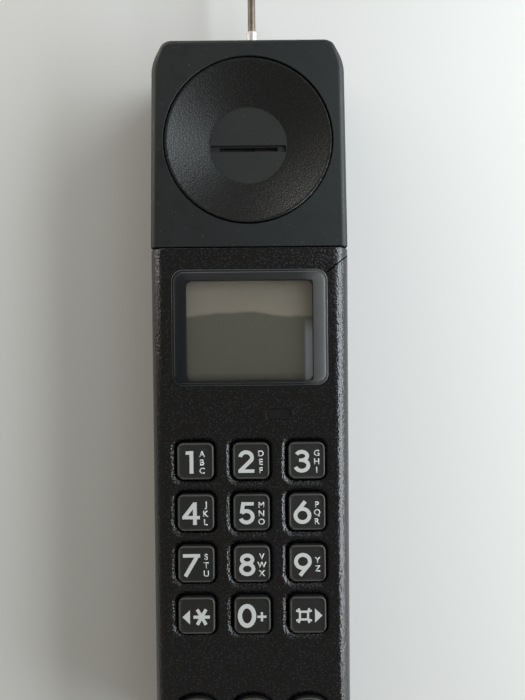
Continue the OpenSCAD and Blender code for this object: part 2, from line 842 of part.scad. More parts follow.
// Space of the cover: a thin plate over the cells with a thick bar down each side
module cover_space(grow) {
    w = body_w / 2 - bat_wall + 0.2 - bar_gap + grow;
    y0 = bat_y0 + foot_r - grow;
    y1 = bat_y1 - bat_wall + grow;
    box(-w, w, y0, y1, bat_t - cover_t - grow / 2, bat_t + grow * 10);
    cells_w = cell_room - bar_gap + grow;
    cells_y = bat_y0 + bat_wall + bar_gap - grow;
    box(-cells_w, cells_w, cells_y, y0 + 1, bat_t - cover_t - grow / 2, bat_t + grow * 10);
    both_sides() box(cell_room + 0.8 - grow, w, y0, y1, shelf_z - grow / 2, bat_t + grow * 10);
}

module battery_cover() {
    color("#2c2c31") difference() {
        cover_space(0);
        both_sides() rail(rail_clear);
    }
}

bank_y0 = bat_y0 + bat_wall + 0.2;

module battery_cells() {
    color("#4f6f8f") for (b = [0, 1], i = [-1, 0, 1]) {
        y = bank_y0 + 0.2 + b * (cell_len + 0.4);
        translate([i * (cell_d + 0.4), y + cell_len - 0.6, bat_floor + cell_d / 2]) rotate([90, 0, 0]) {
            cylinder(h = cell_len - 0.6, r = cell_d / 2);
            translate([0, 0, -0.6]) cylinder(h = 0.6, r = 2);
        }
    }
}

module battery_straps() {
    color("#b7bbbd") for (b = [0:2]) {
        y = bank_y0 + b * (cell_len + 0.4);
        box(-cell_d - 2, cell_d + 2, y - 0.1, y + 0.1, bat_floor + 3, bat_floor + 7);
    }
}

module battery_board() {
    y = bat_y1 - bat_wall;
    color("#2f6b43") box(pad_xs[0] - 1.6, cell_room - 0.2, y - 1.2, y - 0.2, bat_floor + 0.3, bat_t - 1.6);
}

// Pads in the battery's end wall, or their pockets when drawn out past it
module contact_pads(past) {
    for (x = pad_xs) {
        box(x - pad_w / 2, x + pad_w / 2, bat_y1 - 0.5, bat_y1 + past, blade_z - 2, blade_z + 3);
    }
}

module battery_pads() {
    color("#c8a951") contact_pads(0);
}

// Release button in the back, with the tongue that reaches into the battery's end
module battery_latch() {
    flange_z = rear_floor + 0.2;
    color("#2e2e33") {
        slab(0, latch_y, latch_w, latch_h, 1.7, latch_inset, flange_z);
        slab(0, latch_y, latch_w + 2 * latch_flange, latch_h + 2 * latch_flange, 2,
            flange_z, flange_z + latch_flange_t);
        box(-tongue_w / 2, tongue_w / 2, bay_y - tongue_reach, latch_y, tongue_z, tongue_z + tongue_t);
    }
}

// Strip across the posts that the latch's spring pushes against
module latch_bridge() {
    color("#b7bbbd") {
        slab(0, latch_y, 2 * bridge_post_x + 5, 6, 1, bridge_z, bridge_z + bridge_t);
    }
}

// Coil of round wire between two heights
module coil(r, wire, z0, z1, turns, steps, sides) {
    n = turns * steps;
    rise = (z1 - z0 - 2 * wire) / n;
    points = [for (i = [0:n], j = [0:sides - 1]) let (
        a = 360 * i / steps,
        b = 360 * j / sides,
        d = r + wire * cos(b)
    ) [d * cos(a), d * sin(a), z0 + wire + rise * i + wire * sin(b)]];
    walls = [for (i = [0:n - 1], j = [0:sides - 1]) let (k = (j + 1) % sides)
        [i * sides + j, (i + 1) * sides + j, (i + 1) * sides + k, i * sides + k]];
    caps = [[for (j = [0:sides - 1]) j], [for (j = [sides - 1:-1:0]) n * sides + j]];
    polyhedron(points, concat(walls, caps));
}

module latch_spring() {
    color("#c3c6c8") translate([0, latch_y, 0]) {
        coil(spring_r, spring_wire, tongue_z + tongue_t, bridge_z, 5, 16, 6);
    }
}

front_shell();
head_cover();
rear_shell();
earpiece_insert();
display_lens();
lcd_frame();
lcd_panel();
light_guide();
contact_strips();
indicator_lens();
keypad_mat();
board_leds();
main_board();
radio_board();
board_connector();
logic_shield();
radio_shield();
speaker_capsule();
speaker_gasket();
microphone();
microphone_boot();
buzzer();
backup_cell();
antenna_bush();
antenna_tube();
antenna_contact();
system_connector();
connector_pins();
battery_connector();
battery_springs();
case_screws();
latch_bridge();
key_1();
key_2();
key_3();
key_4();
key_5();
key_6();
key_7();
key_8();
key_9();
key_star();
key_0();
key_hash();
key_end();
key_menu();
key_call();
antenna_whip();
antenna_sleeve();
antenna_tip();
battery_case();
battery_cover();
battery_cells();
battery_straps();
battery_board();
battery_pads();
battery_latch();
latch_spring();
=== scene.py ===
"""Slim hand-held cordless phone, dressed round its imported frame.

The frame gives every place and size: +Z out of the front face, +Y towards the whip antenna, metres.
Each sub-assembly is a class that models its pieces and gives them their finishes.
"""

import json
import logging
import math
from dataclasses import dataclass
from enum import Enum
from typing import Callable, Sequence

import bmesh
import bpy
from mathutils import Matrix, Vector


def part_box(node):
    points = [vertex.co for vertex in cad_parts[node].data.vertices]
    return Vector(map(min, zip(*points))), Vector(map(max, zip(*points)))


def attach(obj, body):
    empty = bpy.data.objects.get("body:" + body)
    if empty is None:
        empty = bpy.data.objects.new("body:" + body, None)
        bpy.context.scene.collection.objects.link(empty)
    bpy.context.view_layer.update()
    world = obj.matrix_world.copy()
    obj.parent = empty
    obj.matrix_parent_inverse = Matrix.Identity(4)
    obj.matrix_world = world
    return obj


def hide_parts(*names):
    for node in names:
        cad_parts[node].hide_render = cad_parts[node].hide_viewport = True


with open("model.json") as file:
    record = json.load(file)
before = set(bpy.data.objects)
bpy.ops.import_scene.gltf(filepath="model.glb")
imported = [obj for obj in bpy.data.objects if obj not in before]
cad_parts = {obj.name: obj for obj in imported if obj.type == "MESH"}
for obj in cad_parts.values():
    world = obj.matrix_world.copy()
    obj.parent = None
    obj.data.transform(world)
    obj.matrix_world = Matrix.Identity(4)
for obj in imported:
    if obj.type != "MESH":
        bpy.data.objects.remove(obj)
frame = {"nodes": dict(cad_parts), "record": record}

LOG = logging.getLogger("phone")
MM = 0.001
NEAR = 1e-6  # points nearer than this lie on the same face
MERGE = 1e-7  # doubled points nearer than this become one
LENS_BORDER = 3.9 * MM  # from the lens's side to the inner edge of its border, whose dark print carries painted shade and a painted reflection
CAPITAL = 0.73  # height of a capital letter in its own units
Point = tuple[float, float]
Colour = tuple[float, float, float]
Ring = tuple[float, float, float, float]
OvalRing = tuple[float, float, float]


class Join(Enum):
    """How a tool is combined with a piece."""

    CUT = "DIFFERENCE"
    ADD = "UNION"


class Maths(Enum):
    """Arithmetic on values and vectors in a finish."""

    ADD = "ADD"
    SUBTRACT = "SUBTRACT"
    MULTIPLY = "MULTIPLY"
    COSINE = "COSINE"
    SCALE = "SCALE"


def tinted(colour: Colour, share: float) -> Colour:
    """A colour made darker or lighter by a share."""
    return tuple(c * share for c in colour)


def middle(low: Vector, high: Vector) -> Point:
    """Middle of a box, seen from the front."""
    return (low.x + high.x) / 2, (low.y + high.y) / 2


# ---------------------------------------------------------------- modelling moves


class Bench:
    """Modelling moves, made with Blender's own operators on one active object."""

    @staticmethod
    def clear() -> None:
        """Leave edit mode and deselect everything."""
        if bpy.context.object and bpy.context.object.mode != "OBJECT":
            bpy.ops.object.mode_set(mode="OBJECT")
        bpy.ops.object.select_all(action="DESELECT")

    @staticmethod
    def hold(obj: bpy.types.Object) -> None:
        """Make one object the only selected and active one."""
        Bench.clear()
        obj.hide_set(False)
        obj.select_set(True)
        bpy.context.view_layer.objects.active = obj

    @staticmethod
    def settle(name: str) -> bpy.types.Object:
        """Name the active object and move its place into its mesh.

        Args:
            name: the piece's name.

        Returns:
            The object, at the origin.
        """
        obj = bpy.context.object
        obj.name = obj.data.name = name
        bpy.ops.object.transform_apply(location=True, rotation=True, scale=True)
        return obj

    @staticmethod
    def piece(name: str, mesh: bpy.types.Mesh) -> bpy.types.Object:
        """Make an object of a mesh, the only selected and active one."""
        obj = bpy.data.objects.new(name, mesh)
        bpy.context.scene.collection.objects.link(obj)
        Bench.hold(obj)
        return obj

    @staticmethod
    def box(name: str, low: Sequence[float], high: Sequence[float]) -> bpy.types.Object:
        """Add a box between two corners.

        Args:
            name: the piece's name.
            low: its lowest corner.
            high: its highest corner.

        Returns:
            The box, at the origin.
        """
        Bench.clear()
        centre = [(a + b) / 2 for a, b in zip(low, high)]
        bpy.ops.mesh.primitive_cube_add(size=1, location=centre)
        bpy.context.object.scale = [b - a for a, b in zip(low, high)]
        return Bench.settle(name)

    @staticmethod
    def rod(name: str, start: Vector, end: Vector, radius: float, sides: int = 32) -> bpy.types.Object:
        """Add a cylinder between two points.

        Args:
            name: the piece's name.
            start: middle of one end.
            end: middle of the other.
            radius: its radius.
            sides: faces round it.

        Returns:
            The cylinder, at the origin.
        """
        Bench.clear()
        along = end - start
        turn = along.to_track_quat("Z", "Y").to_euler()
        bpy.ops.mesh.primitive_cylinder_add(
            vertices=sides, radius=radius, depth=along.length, location=(start + end) / 2, rotation=turn
        )
        return Bench.settle(name)

    @staticmethod
    def bevel(
        obj: bpy.types.Object,
        pick: Callable[[Vector, Vector], bool],
        width: float,
        segments: int,
    ) -> None:
        """Round the edges that a test picks.

        Args:
            obj: the piece.
            pick: says whether an edge, given by its two ends, is rounded.
            width: the radius.
            segments: faces round the edge.
        """
        Bench.hold(obj)
        bpy.ops.object.mode_set(mode="EDIT")
        bpy.ops.mesh.select_mode(type="EDGE")
        bpy.ops.mesh.select_all(action="DESELECT")
        mesh = bmesh.from_edit_mesh(obj.data)
        for edge in mesh.edges:
            if pick(edge.verts[0].co, edge.verts[1].co):
                edge.select = True
        mesh.select_flush_mode()
        bmesh.update_edit_mesh(obj.data)
        bpy.ops.mesh.bevel(offset=width, segments=segments, affect="EDGES", clamp_overlap=False)
        bpy.ops.object.mode_set(mode="OBJECT")

    @staticmethod
    def stack(name: str, centre: Point, rings: Sequence[Ring], corner: int = 6) -> bpy.types.Object:
        """Draw a rounded rectangle up through a stack of rings, each made by extruding the last.

        Args:
            name: the piece's name.
            centre: its middle in x and y.
            rings: height, width, height along y and corner radius of each ring, from the bottom up.
            corner: faces round a corner.

        Returns:
            The closed solid.
        """
        z, width, height, radius = rings[0]
        Bench.clear()
        bpy.ops.mesh.primitive_plane_add(size=1, location=(*centre, z))
        bpy.context.object.scale = (width, height, 1)
        obj = Bench.settle(name)
        bpy.ops.object.mode_set(mode="EDIT")
        bpy.ops.mesh.select_all(action="SELECT")
        bpy.ops.mesh.bevel(offset=radius, segments=corner, affect="VERTICES", clamp_overlap=False)
        bpy.ops.mesh.select_all(action="SELECT")
        last = rings[0]
        for ring in rings[1:]:
            bpy.ops.mesh.extrude_region_move(TRANSFORM_OT_translate={"value": (0, 0, ring[0] - last[0])})
            Bench.reshape(obj, centre, last, ring)
            last = ring
        Bench.tidy_normals()
        bpy.ops.object.mode_set(mode="OBJECT")
        return obj

    @staticmethod
    def reshape(obj: bpy.types.Object, centre: Point, last: Ring, ring: Ring) -> None:
        """Move the selected points from one rounded rectangle on to another, in edit mode.

        Args:
            obj: the piece.
            centre: the middle of both rectangles in x and y.
            last: the rectangle that the points are on.
            ring: the rectangle that they move to.
        """
        mesh = bmesh.from_edit_mesh(obj.data)
        for vertex in mesh.verts:
            if not vertex.select:
                continue
            x, y = vertex.co.x - centre[0], vertex.co.y - centre[1]
            side = Vector((math.copysign(1, x), math.copysign(1, y)))
            old = Vector((side.x * (last[1] / 2 - last[3]), side.y * (last[2] / 2 - last[3])))
            new = Vector((side.x * (ring[1] / 2 - ring[3]), side.y * (ring[2] / 2 - ring[3])))
            spot = new + (Vector((x, y)) - old) * (ring[3] / last[3])
            vertex.co.x, vertex.co.y = centre[0] + spot.x, centre[1] + spot.y
        bmesh.update_edit_mesh(obj.data)

    @staticmethod
    def tidy_normals() -> None:
        """Merge doubled points and point all faces outwards, in edit mode."""
        bpy.ops.mesh.select_all(action="SELECT")
        bpy.ops.mesh.remove_doubles(threshold=MERGE)
        bpy.ops.mesh.normals_make_consistent(inside=False)

    @staticmethod
    def spin(name: str, profile: Sequence[Point], place: Matrix, steps: int) -> bpy.types.Object:
        """Turn an outline of radius and height about the local Z axis, then put it in place.

        Args:
            name: the piece's name.
            profile: radius and height of each point, closed on the axis or on itself.
            place: where the local axes stand.
            steps: faces round the axis.

        Returns:
            The turned solid.
        """
        mesh = bpy.data.meshes.new(name)
        points = [(r, 0, z) for r, z in profile]
        mesh.from_pydata(points, [(i, (i + 1) % len(points)) for i in range(len(points))], [])
        obj = Bench.piece(name, mesh)
        bpy.ops.object.mode_set(mode="EDIT")
        bpy.ops.mesh.select_all(action="SELECT")
        bpy.ops.mesh.spin(steps=steps, angle=2 * math.pi, center=(0, 0, 0), axis=(0, 0, 1))
        bpy.ops.mesh.select_all(action="SELECT")
        bpy.ops.mesh.remove_doubles(threshold=MERGE)
        bpy.ops.mesh.dissolve_degenerate(threshold=MERGE)
        bpy.ops.mesh.select_all(action="SELECT")
        bpy.ops.mesh.normals_make_consistent(inside=False)
        bpy.ops.object.mode_set(mode="OBJECT")
        obj.data.transform(place)
        return obj

    @staticmethod
    def join(name: str, objects: Sequence[bpy.types.Object]) -> bpy.types.Object:
        """Make several objects one mesh.

        Args:
            name: the joined piece's name.
            objects: the pieces, which all go into the first.

        Returns:
            The joined piece.
        """
        Bench.hold(objects[0])
        for other in objects[1:]:
            other.select_set(True)
        if len(objects) > 1:
            bpy.ops.object.join()
        return Bench.settle(name)

    @staticmethod
    def combine(obj: bpy.types.Object, other: bpy.types.Object, operation: Join) -> None:
        """Apply a boolean with another object, and remove that object.

        Args:
            obj: the piece that stays.
            other: the tool.
            operation: whether the tool is taken away or added.
        """
        Bench.hold(obj)
        tool = obj.modifiers.new("tool", "BOOLEAN")
        tool.operation = operation.value
        tool.solver = "EXACT"
        tool.object = other
        tool.material_mode = "TRANSFER"
        bpy.ops.object.modifier_apply(modifier=tool.name)
        bpy.data.objects.remove(other)

    @staticmethod
    def cut(obj: bpy.types.Object, tools: Sequence[bpy.types.Object]) -> None:
        """Take several tools that don't meet each other away from a piece, at once."""
        Bench.combine(obj, Bench.join("cutter", tools), Join.CUT)

    @staticmethod
    def copy(obj: bpy.types.Object, name: str, shift: Vector) -> bpy.types.Object:
        """Copy a piece with its own mesh, moved by a vector.

        Args:
            obj: the piece.
            name: the copy's name.
            shift: how far the copy is moved.

        Returns:
            The copy.
        """
        twin = obj.copy()
        twin.data = obj.data.copy()
        twin.name = twin.data.name = name
        bpy.context.scene.collection.objects.link(twin)
        twin.data.transform(Matrix.Translation(shift))
        return twin

    @staticmethod
    def from_frame(node: str, name: str) -> bpy.types.Object:
        """Copy a frame node's mesh, merge its loose triangles and join its flat faces.

        Args:
            node: the frame node.
            name: the copy's name.

        Returns:
            The copy.
        """
        mesh = frame["nodes"][node].data.copy()
        mesh.name = name
        twin = Bench.piece(name, mesh)
        bpy.ops.object.mode_set(mode="EDIT")
        bpy.ops.mesh.select_all(action="SELECT")
        bpy.ops.mesh.remove_doubles(threshold=2e-6)
        bpy.ops.mesh.dissolve_limited(angle_limit=math.radians(0.6))
        bpy.ops.object.mode_set(mode="OBJECT")
        return twin

    @staticmethod
    def smooth(obj: bpy.types.Object, angle: float = 32, weighted: bool = True) -> None:
        """Shade a piece smooth up to an angle, with the large faces setting the normals.

        Args:
            obj: the piece.
            angle: the sharpest smooth edge, in degrees.
            weighted: whether large faces set the normals.
        """
        Bench.hold(obj)
        bpy.ops.object.shade_smooth_by_angle(angle=math.radians(angle))
        if weighted:
            weigh = obj.modifiers.new("weigh", "WEIGHTED_NORMAL")
            weigh.keep_sharp = True
            bpy.ops.object.modifier_apply(modifier=weigh.name)

    @staticmethod
    def soften(obj: bpy.types.Object, width: float, segments: int = 2, angle: float = 30) -> None:
        """Round every edge sharper than an angle by a small radius.

        Args:
            obj: the piece.
            width: the radius.
            segments: faces round an edge.
            angle: edges sharper than this are rounded, in degrees.
        """
        Bench.hold(obj)
        edge = obj.modifiers.new("edge", "BEVEL")
        edge.width = width
        edge.segments = segments
        edge.limit_method = "ANGLE"
        edge.angle_limit = math.radians(angle)
        edge.use_clamp_overlap = True
        bpy.ops.object.modifier_apply(modifier=edge.name)

    @staticmethod
    def dress(obj: bpy.types.Object, *finishes: bpy.types.Material) -> None:
        """Give a piece its materials, the first on every face.

        Args:
            obj: the piece.
            *finishes: its materials, in the order of their slots.
        """
        obj.data.materials.clear()
        for finish in finishes:
            obj.data.materials.append(finish)

    @staticmethod
    def stand_in(obj: bpy.types.Object, body: str, slot: str, *nodes: str) -> bpy.types.Object:
        """Let a piece ride on a body in place of frame nodes, and report it.

        Args:
            obj: the piece.
            body: the frame body that carries it.
            slot: the piece's material slot name; not used.
            *nodes: the frame nodes that it takes the place of.

        Returns:
            The piece.
        """
        if nodes:
            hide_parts(*nodes)
        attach(obj, body)
        LOG.info("%s rides on %s", obj.name, body)
        return obj


# ---------------------------------------------------------------- finishes


class Pattern:
    """A material's node tree, with short calls for the nodes that the finishes use."""

    def __init__(self, name: str) -> None:
        """Start a material with one Principled shader."""
        self.material = bpy.data.materials.new(name)
        self.material.use_nodes = True
        self.nodes = self.material.node_tree.nodes
        self.links = self.material.node_tree.links
        self.shader = self.nodes["Principled BSDF"]
        self.place = self.nodes.new("ShaderNodeTexCoord").outputs["Object"]

    def add(self, kind: str, **inputs: object) -> bpy.types.Node:
        """Add a node and set or link its inputs.

        Args:
            kind: the node's type, without its ShaderNode prefix.
            inputs: input name, with _ for a space, to a value or an output socket.

        Returns:
            The node.
        """
        node = self.nodes.new("ShaderNode" + kind)
        for name, value in inputs.items():
            self.feed(node.inputs[name.replace("_", " ")], value)
        return node

    def feed(self, socket: bpy.types.NodeSocket, value: object) -> None:
        """Link an input to an output socket, or set it to a value."""
        if isinstance(value, bpy.types.NodeSocket):
            self.links.new(value, socket)
        elif socket.type == "RGBA":
            socket.default_value = (*value, 1)
        else:
            socket.default_value = value

    def noise(self, scale: float, detail: float = 3, rough: float = 0.5) -> bpy.types.NodeSocket:
        """Cloudy noise.

        Args:
            scale: cycles a metre.
            detail: layers of finer noise.
            rough: how strong the finer layers are.

        Returns:
            The noise.
        """
        return self.add("TexNoise", Vector=self.place, Scale=scale, Detail=detail, Roughness=rough).outputs[0]

    def cells(self, scale: float, warp: float = 0.0) -> bpy.types.NodeSocket:
        """Distance from the middle of scattered cells.

        Args:
            scale: cells a metre.
            warp: how far the cells are pushed out of shape, in cells.

        Returns:
            The distance.
        """
        place = self.place
        if warp:
            swirl = self.add("TexNoise", Vector=self.place, Scale=scale * 0.8, Detail=2).outputs["Color"]
            shift = self.vector(Maths.SCALE, swirl, warp / scale)
            place = self.vector(Maths.ADD, self.place, shift)
        return self.add("TexVoronoi", Vector=place, Scale=scale).outputs["Distance"]

    def vector(self, operation: Maths, first: object, second: object) -> bpy.types.NodeSocket:
        """Arithmetic on a vector.

        Args:
            operation: what is done.
            first: the vector.
            second: the other vector, or the share for a scaling.

        Returns:
            The result.
        """
        node = self.nodes.new("ShaderNodeVectorMath")
        node.operation = operation.value
        self.feed(node.inputs[0], first)
        self.feed(node.inputs["Scale" if operation is Maths.SCALE else 1], second)
        return node.outputs[0]

    def maths(self, operation: Maths, first: object, second: object = 0.0) -> bpy.types.NodeSocket:
        """Arithmetic on numbers.

        Args:
            operation: what is done.
            first: the first number or socket.
            second: the second number or socket.

        Returns:
            The result.
        """
        node = self.nodes.new("ShaderNodeMath")
        node.operation = operation.value
        for socket, value in zip(node.inputs, (first, second)):
            self.feed(socket, value)
        return node.outputs[0]

    def ramp(self, source: bpy.types.NodeSocket, low: float, high: float) -> bpy.types.NodeSocket:
        """Clamp and stretch a value.

        Args:
            source: the value.
            low: the value that becomes 0.
            high: the value that becomes 1.

        Returns:
            The stretched value.
        """
        return self.add("MapRange", Value=source, From_Min=low, From_Max=high).outputs[0]

    def mix(self, amount: object, first: object, second: object) -> bpy.types.NodeSocket:
        """Mix two colours.

        Args:
            amount: share of the second colour.
            first: the first colour or socket.
            second: the second colour or socket.

        Returns:
            The mixed colour.
        """
        node = self.nodes.new("ShaderNodeMix")
        node.data_type = "RGBA"
        for i, value in ((0, amount), (6, first), (7, second)):
            self.feed(node.inputs[i], value)
        return node.outputs[2]

    def axis(self, name: str) -> bpy.types.NodeSocket:
        """One of the object's coordinates."""
        return self.add("SeparateXYZ", Vector=self.place).outputs[name]

    def bump(self, height: bpy.types.NodeSocket, depth: float) -> None:
        """Raise the surface by a height pattern, to a depth in metres."""
        node = self.add("Bump", Height=height, Distance=depth, Strength=1.0)
        self.feed(self.shader.inputs["Normal"], node.outputs[0])

    def surface(self, **inputs: object) -> bpy.types.Material:
        """Set the shader's own inputs.

        Args:
            inputs: input name, with _ for a space, to a value or an output socket.

        Returns:
            The material.
        """
        for name, value in inputs.items():
            self.feed(self.shader.inputs[name.replace("_", " ")], value)
        return self.material


@dataclass(frozen=True)
class GrainedPlastic:
    """Moulded plastic with a fine leather grain and specks of dust, with painted shade in the grain's hollows
    and painted highlights on its tops.
    """

    name: str
    colour: Colour
    grain: float
    depth: float
    rough: float
    specular: float = 0.68
    # shares of the colour for painted shade in the grain's hollows and painted highlights on its tops
    hollow_painted_shade: float = 0.06
    top_painted_highlight: float = 2.4
    dust: Colour = (0.2, 0.19, 0.17)

    def make(self) -> bpy.types.Material:
        """Build the material."""
        p = Pattern(self.name)
        pebbles = p.cells(1 / self.grain, 0.5)
        fine = p.noise(2.2 / self.grain, 3)
        hills = p.maths(Maths.MULTIPLY, pebbles, -1.0)
        height = p.maths(Maths.ADD, hills, p.maths(Maths.MULTIPLY, fine, 0.5))
        p.bump(height, self.depth)
        cloud = p.noise(70, 4)
        specks = p.ramp(p.noise(1900, 2, 0.6), 0.70, 0.80)
        patch = p.ramp(p.noise(160, 3), 0.5, 0.75)
        speck = p.maths(Maths.MULTIPLY, specks, p.maths(Maths.MULTIPLY, patch, 0.5))
        tone = p.mix(p.ramp(cloud, 0.35, 0.7), self.colour, tinted(self.colour, 1.35))
        # painted shade: the grain's hollows darkened; painted highlight: its tops lightened
        tone = p.mix(p.ramp(height, -0.2, 0.08), tinted(self.colour, self.hollow_painted_shade), tone)
        tone = p.mix(p.ramp(height, 0.0, 0.14), tone, tinted(self.colour, self.top_painted_highlight))
        rough = p.maths(Maths.ADD, p.maths(Maths.MULTIPLY, fine, 0.16), self.rough - 0.08)
        tone = p.mix(speck, tone, self.dust)
        return p.surface(Base_Color=tone, Roughness=rough, Specular_IOR_Level=self.specular)


@dataclass(frozen=True)
class SmoothPlastic:
    """Moulded plastic with a spark-fine texture, faint rubbing and specks of dust."""

    name: str
    colour: Colour
    rough: float = 0.5
    texture: float = 0.16 * MM
    depth: float = 0.006 * MM
    dust: float = 0.35

    def make(self) -> bpy.types.Material:
        """Build the material."""
        p = Pattern(self.name)
        fine = p.noise(1 / self.texture, 2)
        p.bump(fine, self.depth)
        cloud = p.ramp(p.noise(90, 4), 0.35, 0.7)
        tone = p.mix(cloud, self.colour, tinted(self.colour, 1.25))
        speck = p.maths(Maths.MULTIPLY, p.ramp(p.noise(2300, 1), 0.74, 0.8), self.dust)
        rub = p.maths(Maths.MULTIPLY, p.ramp(p.noise(260, 5, 0.7), 0.5, 0.75), 0.12)
        rough = p.maths(Maths.SUBTRACT, self.rough + 0.04, rub)
        return p.surface(Base_Color=p.mix(speck, tone, (0.3, 0.3, 0.28)), Roughness=rough)


@dataclass(frozen=True)
class Metal:
    """Metal with a brushed or worn surface, and a tarnish in patches."""

    name: str
    colour: Colour
    tarnish: Colour
    rough: float = 0.3
    scale: float = 900

    def make(self) -> bpy.types.Material:
        """Build the material."""
        p = Pattern(self.name)
        wear = p.noise(self.scale, 5, 0.65)
        p.bump(wear, 0.004 * MM)
        patch = p.ramp(p.noise(self.scale / 5, 4), 0.4, 0.68)
        rough = p.maths(Maths.ADD, p.maths(Maths.MULTIPLY, wear, 0.3), self.rough - 0.12)
        return p.surface(Base_Color=p.mix(patch, self.colour, self.tarnish), Metallic=1.0, Roughness=rough)


@dataclass(frozen=True)
class Board:
    """Glass-fibre board under solder mask, with copper tracks and tinned pads showing."""

    name: str
    mask: Colour = (0.01, 0.1, 0.045)

    def make(self) -> bpy.types.Material:
        """Build the material."""
        p = Pattern(self.name)
        tracks = p.add("TexBrick", Vector=p.place, Scale=420.0, Mortar_Size=0.012)
        line = p.ramp(tracks.outputs["Fac"], 0.4, 0.6)
        pads = p.ramp(p.cells(520), 0.16, 0.12)
        copper = p.mix(line, self.mask, (0.03, 0.2, 0.07))
        return p.surface(Base_Color=p.mix(pads, copper, (0.55, 0.53, 0.48)), Roughness=0.3, Coat_Weight=0.4)


@dataclass(frozen=True)
class ClearPlastic:
    """Clear polished plastic with a few hairline scratches."""

    name: str
    tint: Colour = (0.93, 0.95, 0.97)

    def make(self) -> bpy.types.Material:
        """Build the material."""
        p = Pattern(self.name)
        stretch = p.add("Mapping", Vector=p.place, Scale=(300.0, 9000.0, 300.0), Rotation=(0, 0, 0.5))
        streak = p.add("TexNoise", Vector=stretch.outputs[0], Scale=1.0, Detail=2).outputs[0]
        rough = p.maths(Maths.ADD, p.maths(Maths.MULTIPLY, p.ramp(streak, 0.68, 0.8), 0.25), 0.03)
        return p.surface(Base_Color=self.tint, Roughness=rough, Transmission_Weight=1.0, IOR=1.47)


@dataclass(frozen=True)
class LensBorderPaintedLight:
    """Dark print behind the lens's border, made blue-black at the left by painted shade and greying towards
    the right by a painted reflection.
    """

    name: str
    # painted shade: the border's left side is made blue-black
    left: Colour = (0.003, 0.004, 0.009)
    middle: Colour = (0.012, 0.012, 0.013)
    # painted reflection: the border's right side is greyed as if it caught the window
    right: Colour = (0.062, 0.062, 0.062)
    half_width: float = 16.5 * MM

    def make(self) -> bpy.types.Material:
        """Build the material."""
        p = Pattern(self.name)
        x = p.axis("X")
        # painted shade at the left and a painted reflection at the right, over the dark print in the middle
        tone = p.mix(p.ramp(x, -self.half_width - MM, -self.half_width + MM), self.left, self.middle)
        tone = p.mix(p.ramp(x, self.half_width - 3 * MM, self.half_width + 0.5 * MM), tone, self.right)
        bloom = p.maths(Maths.MULTIPLY, p.noise(180, 3), 0.3)
        return p.surface(Base_Color=p.mix(bloom, tone, self.middle), Roughness=0.4)


@dataclass(frozen=True)
class LcdGlass:
    """Unlit display glass, olive grey with a soft sheen; a painted reflection makes it paler and warmer
    towards the top and darker below, a painted reflection of the window lays a pale bluish band down the
    right, and painted shade darkens the bottom.
    """

    name: str
    # upper and lower: the display's tone split by a painted reflection, paler and warmer above, darker below
    upper: Colour = (0.56, 0.47, 0.37)
    lower: Colour = (0.215, 0.193, 0.142)
    # painted reflection of the window, a pale bluish band
    window_reflection_band: Colour = (0.86, 0.92, 1.0)
    haze: Colour = (0.24, 0.225, 0.18)
    reflection_edge_y: float = 0.0
    low_y: float = 0.0
    high_x: float = 0.0

    def make(self) -> bpy.types.Material:
        """Build the material."""
        p = Pattern(self.name)
        wave = p.maths(Maths.COSINE, p.maths(Maths.MULTIPLY, p.maths(Maths.ADD, p.axis("X"), 3 * MM), 205.0))
        wave = p.maths(Maths.MULTIPLY, wave, -0.7 * MM)
        sway = p.maths(Maths.ADD, wave, p.maths(Maths.MULTIPLY, p.noise(150, 1), 2 * MM))
        y = p.maths(Maths.ADD, p.axis("Y"), sway)
        # painted reflection: paler, warmer tone above a wavy line, darker below it
        tone = p.mix(p.ramp(y, self.reflection_edge_y + 0.3 * MM, self.reflection_edge_y + 1.1 * MM), self.lower, self.upper)
        low_y, high_x = self.low_y, self.high_x
        # painted shade: darker along the bottom, under the lens's lower border
        foot = p.ramp(p.axis("Y"), low_y + 0.2 * MM, low_y + 2.4 * MM)
        tone = p.mix(foot, tinted(self.lower, 0.25), tone)
        # painted reflection of the window: a pale bluish band down the right side, in the lower part
        side = p.maths(Maths.MULTIPLY, p.ramp(p.axis("X"), high_x - 2.2 * MM, high_x - 1.6 * MM), 0.9)
        below = p.ramp(y, self.reflection_edge_y + 0.5 * MM, self.reflection_edge_y - 4 * MM)
        tone = p.mix(p.maths(Maths.MULTIPLY, side, below), tone, self.window_reflection_band)
        bloom = p.maths(Maths.MULTIPLY, p.noise(140, 3), 0.25)
        return p.surface(Base_Color=p.mix(bloom, tone, self.haze), Roughness=0.22, Coat_Weight=0.3)


@dataclass(frozen=True)
class Print:
    """Printing ink, a little uneven and worn."""

    name: str
    colour: Colour = (0.62, 0.62, 0.62)

    def make(self) -> bpy.types.Material:
        """Build the material."""
        p = Pattern(self.name)
        worn = p.ramp(p.noise(2600, 3, 0.6), 0.6, 0.9)
        tone = p.mix(worn, self.colour, tinted(self.colour, 0.7))
        return p.surface(Base_Color=tone, Roughness=0.55)


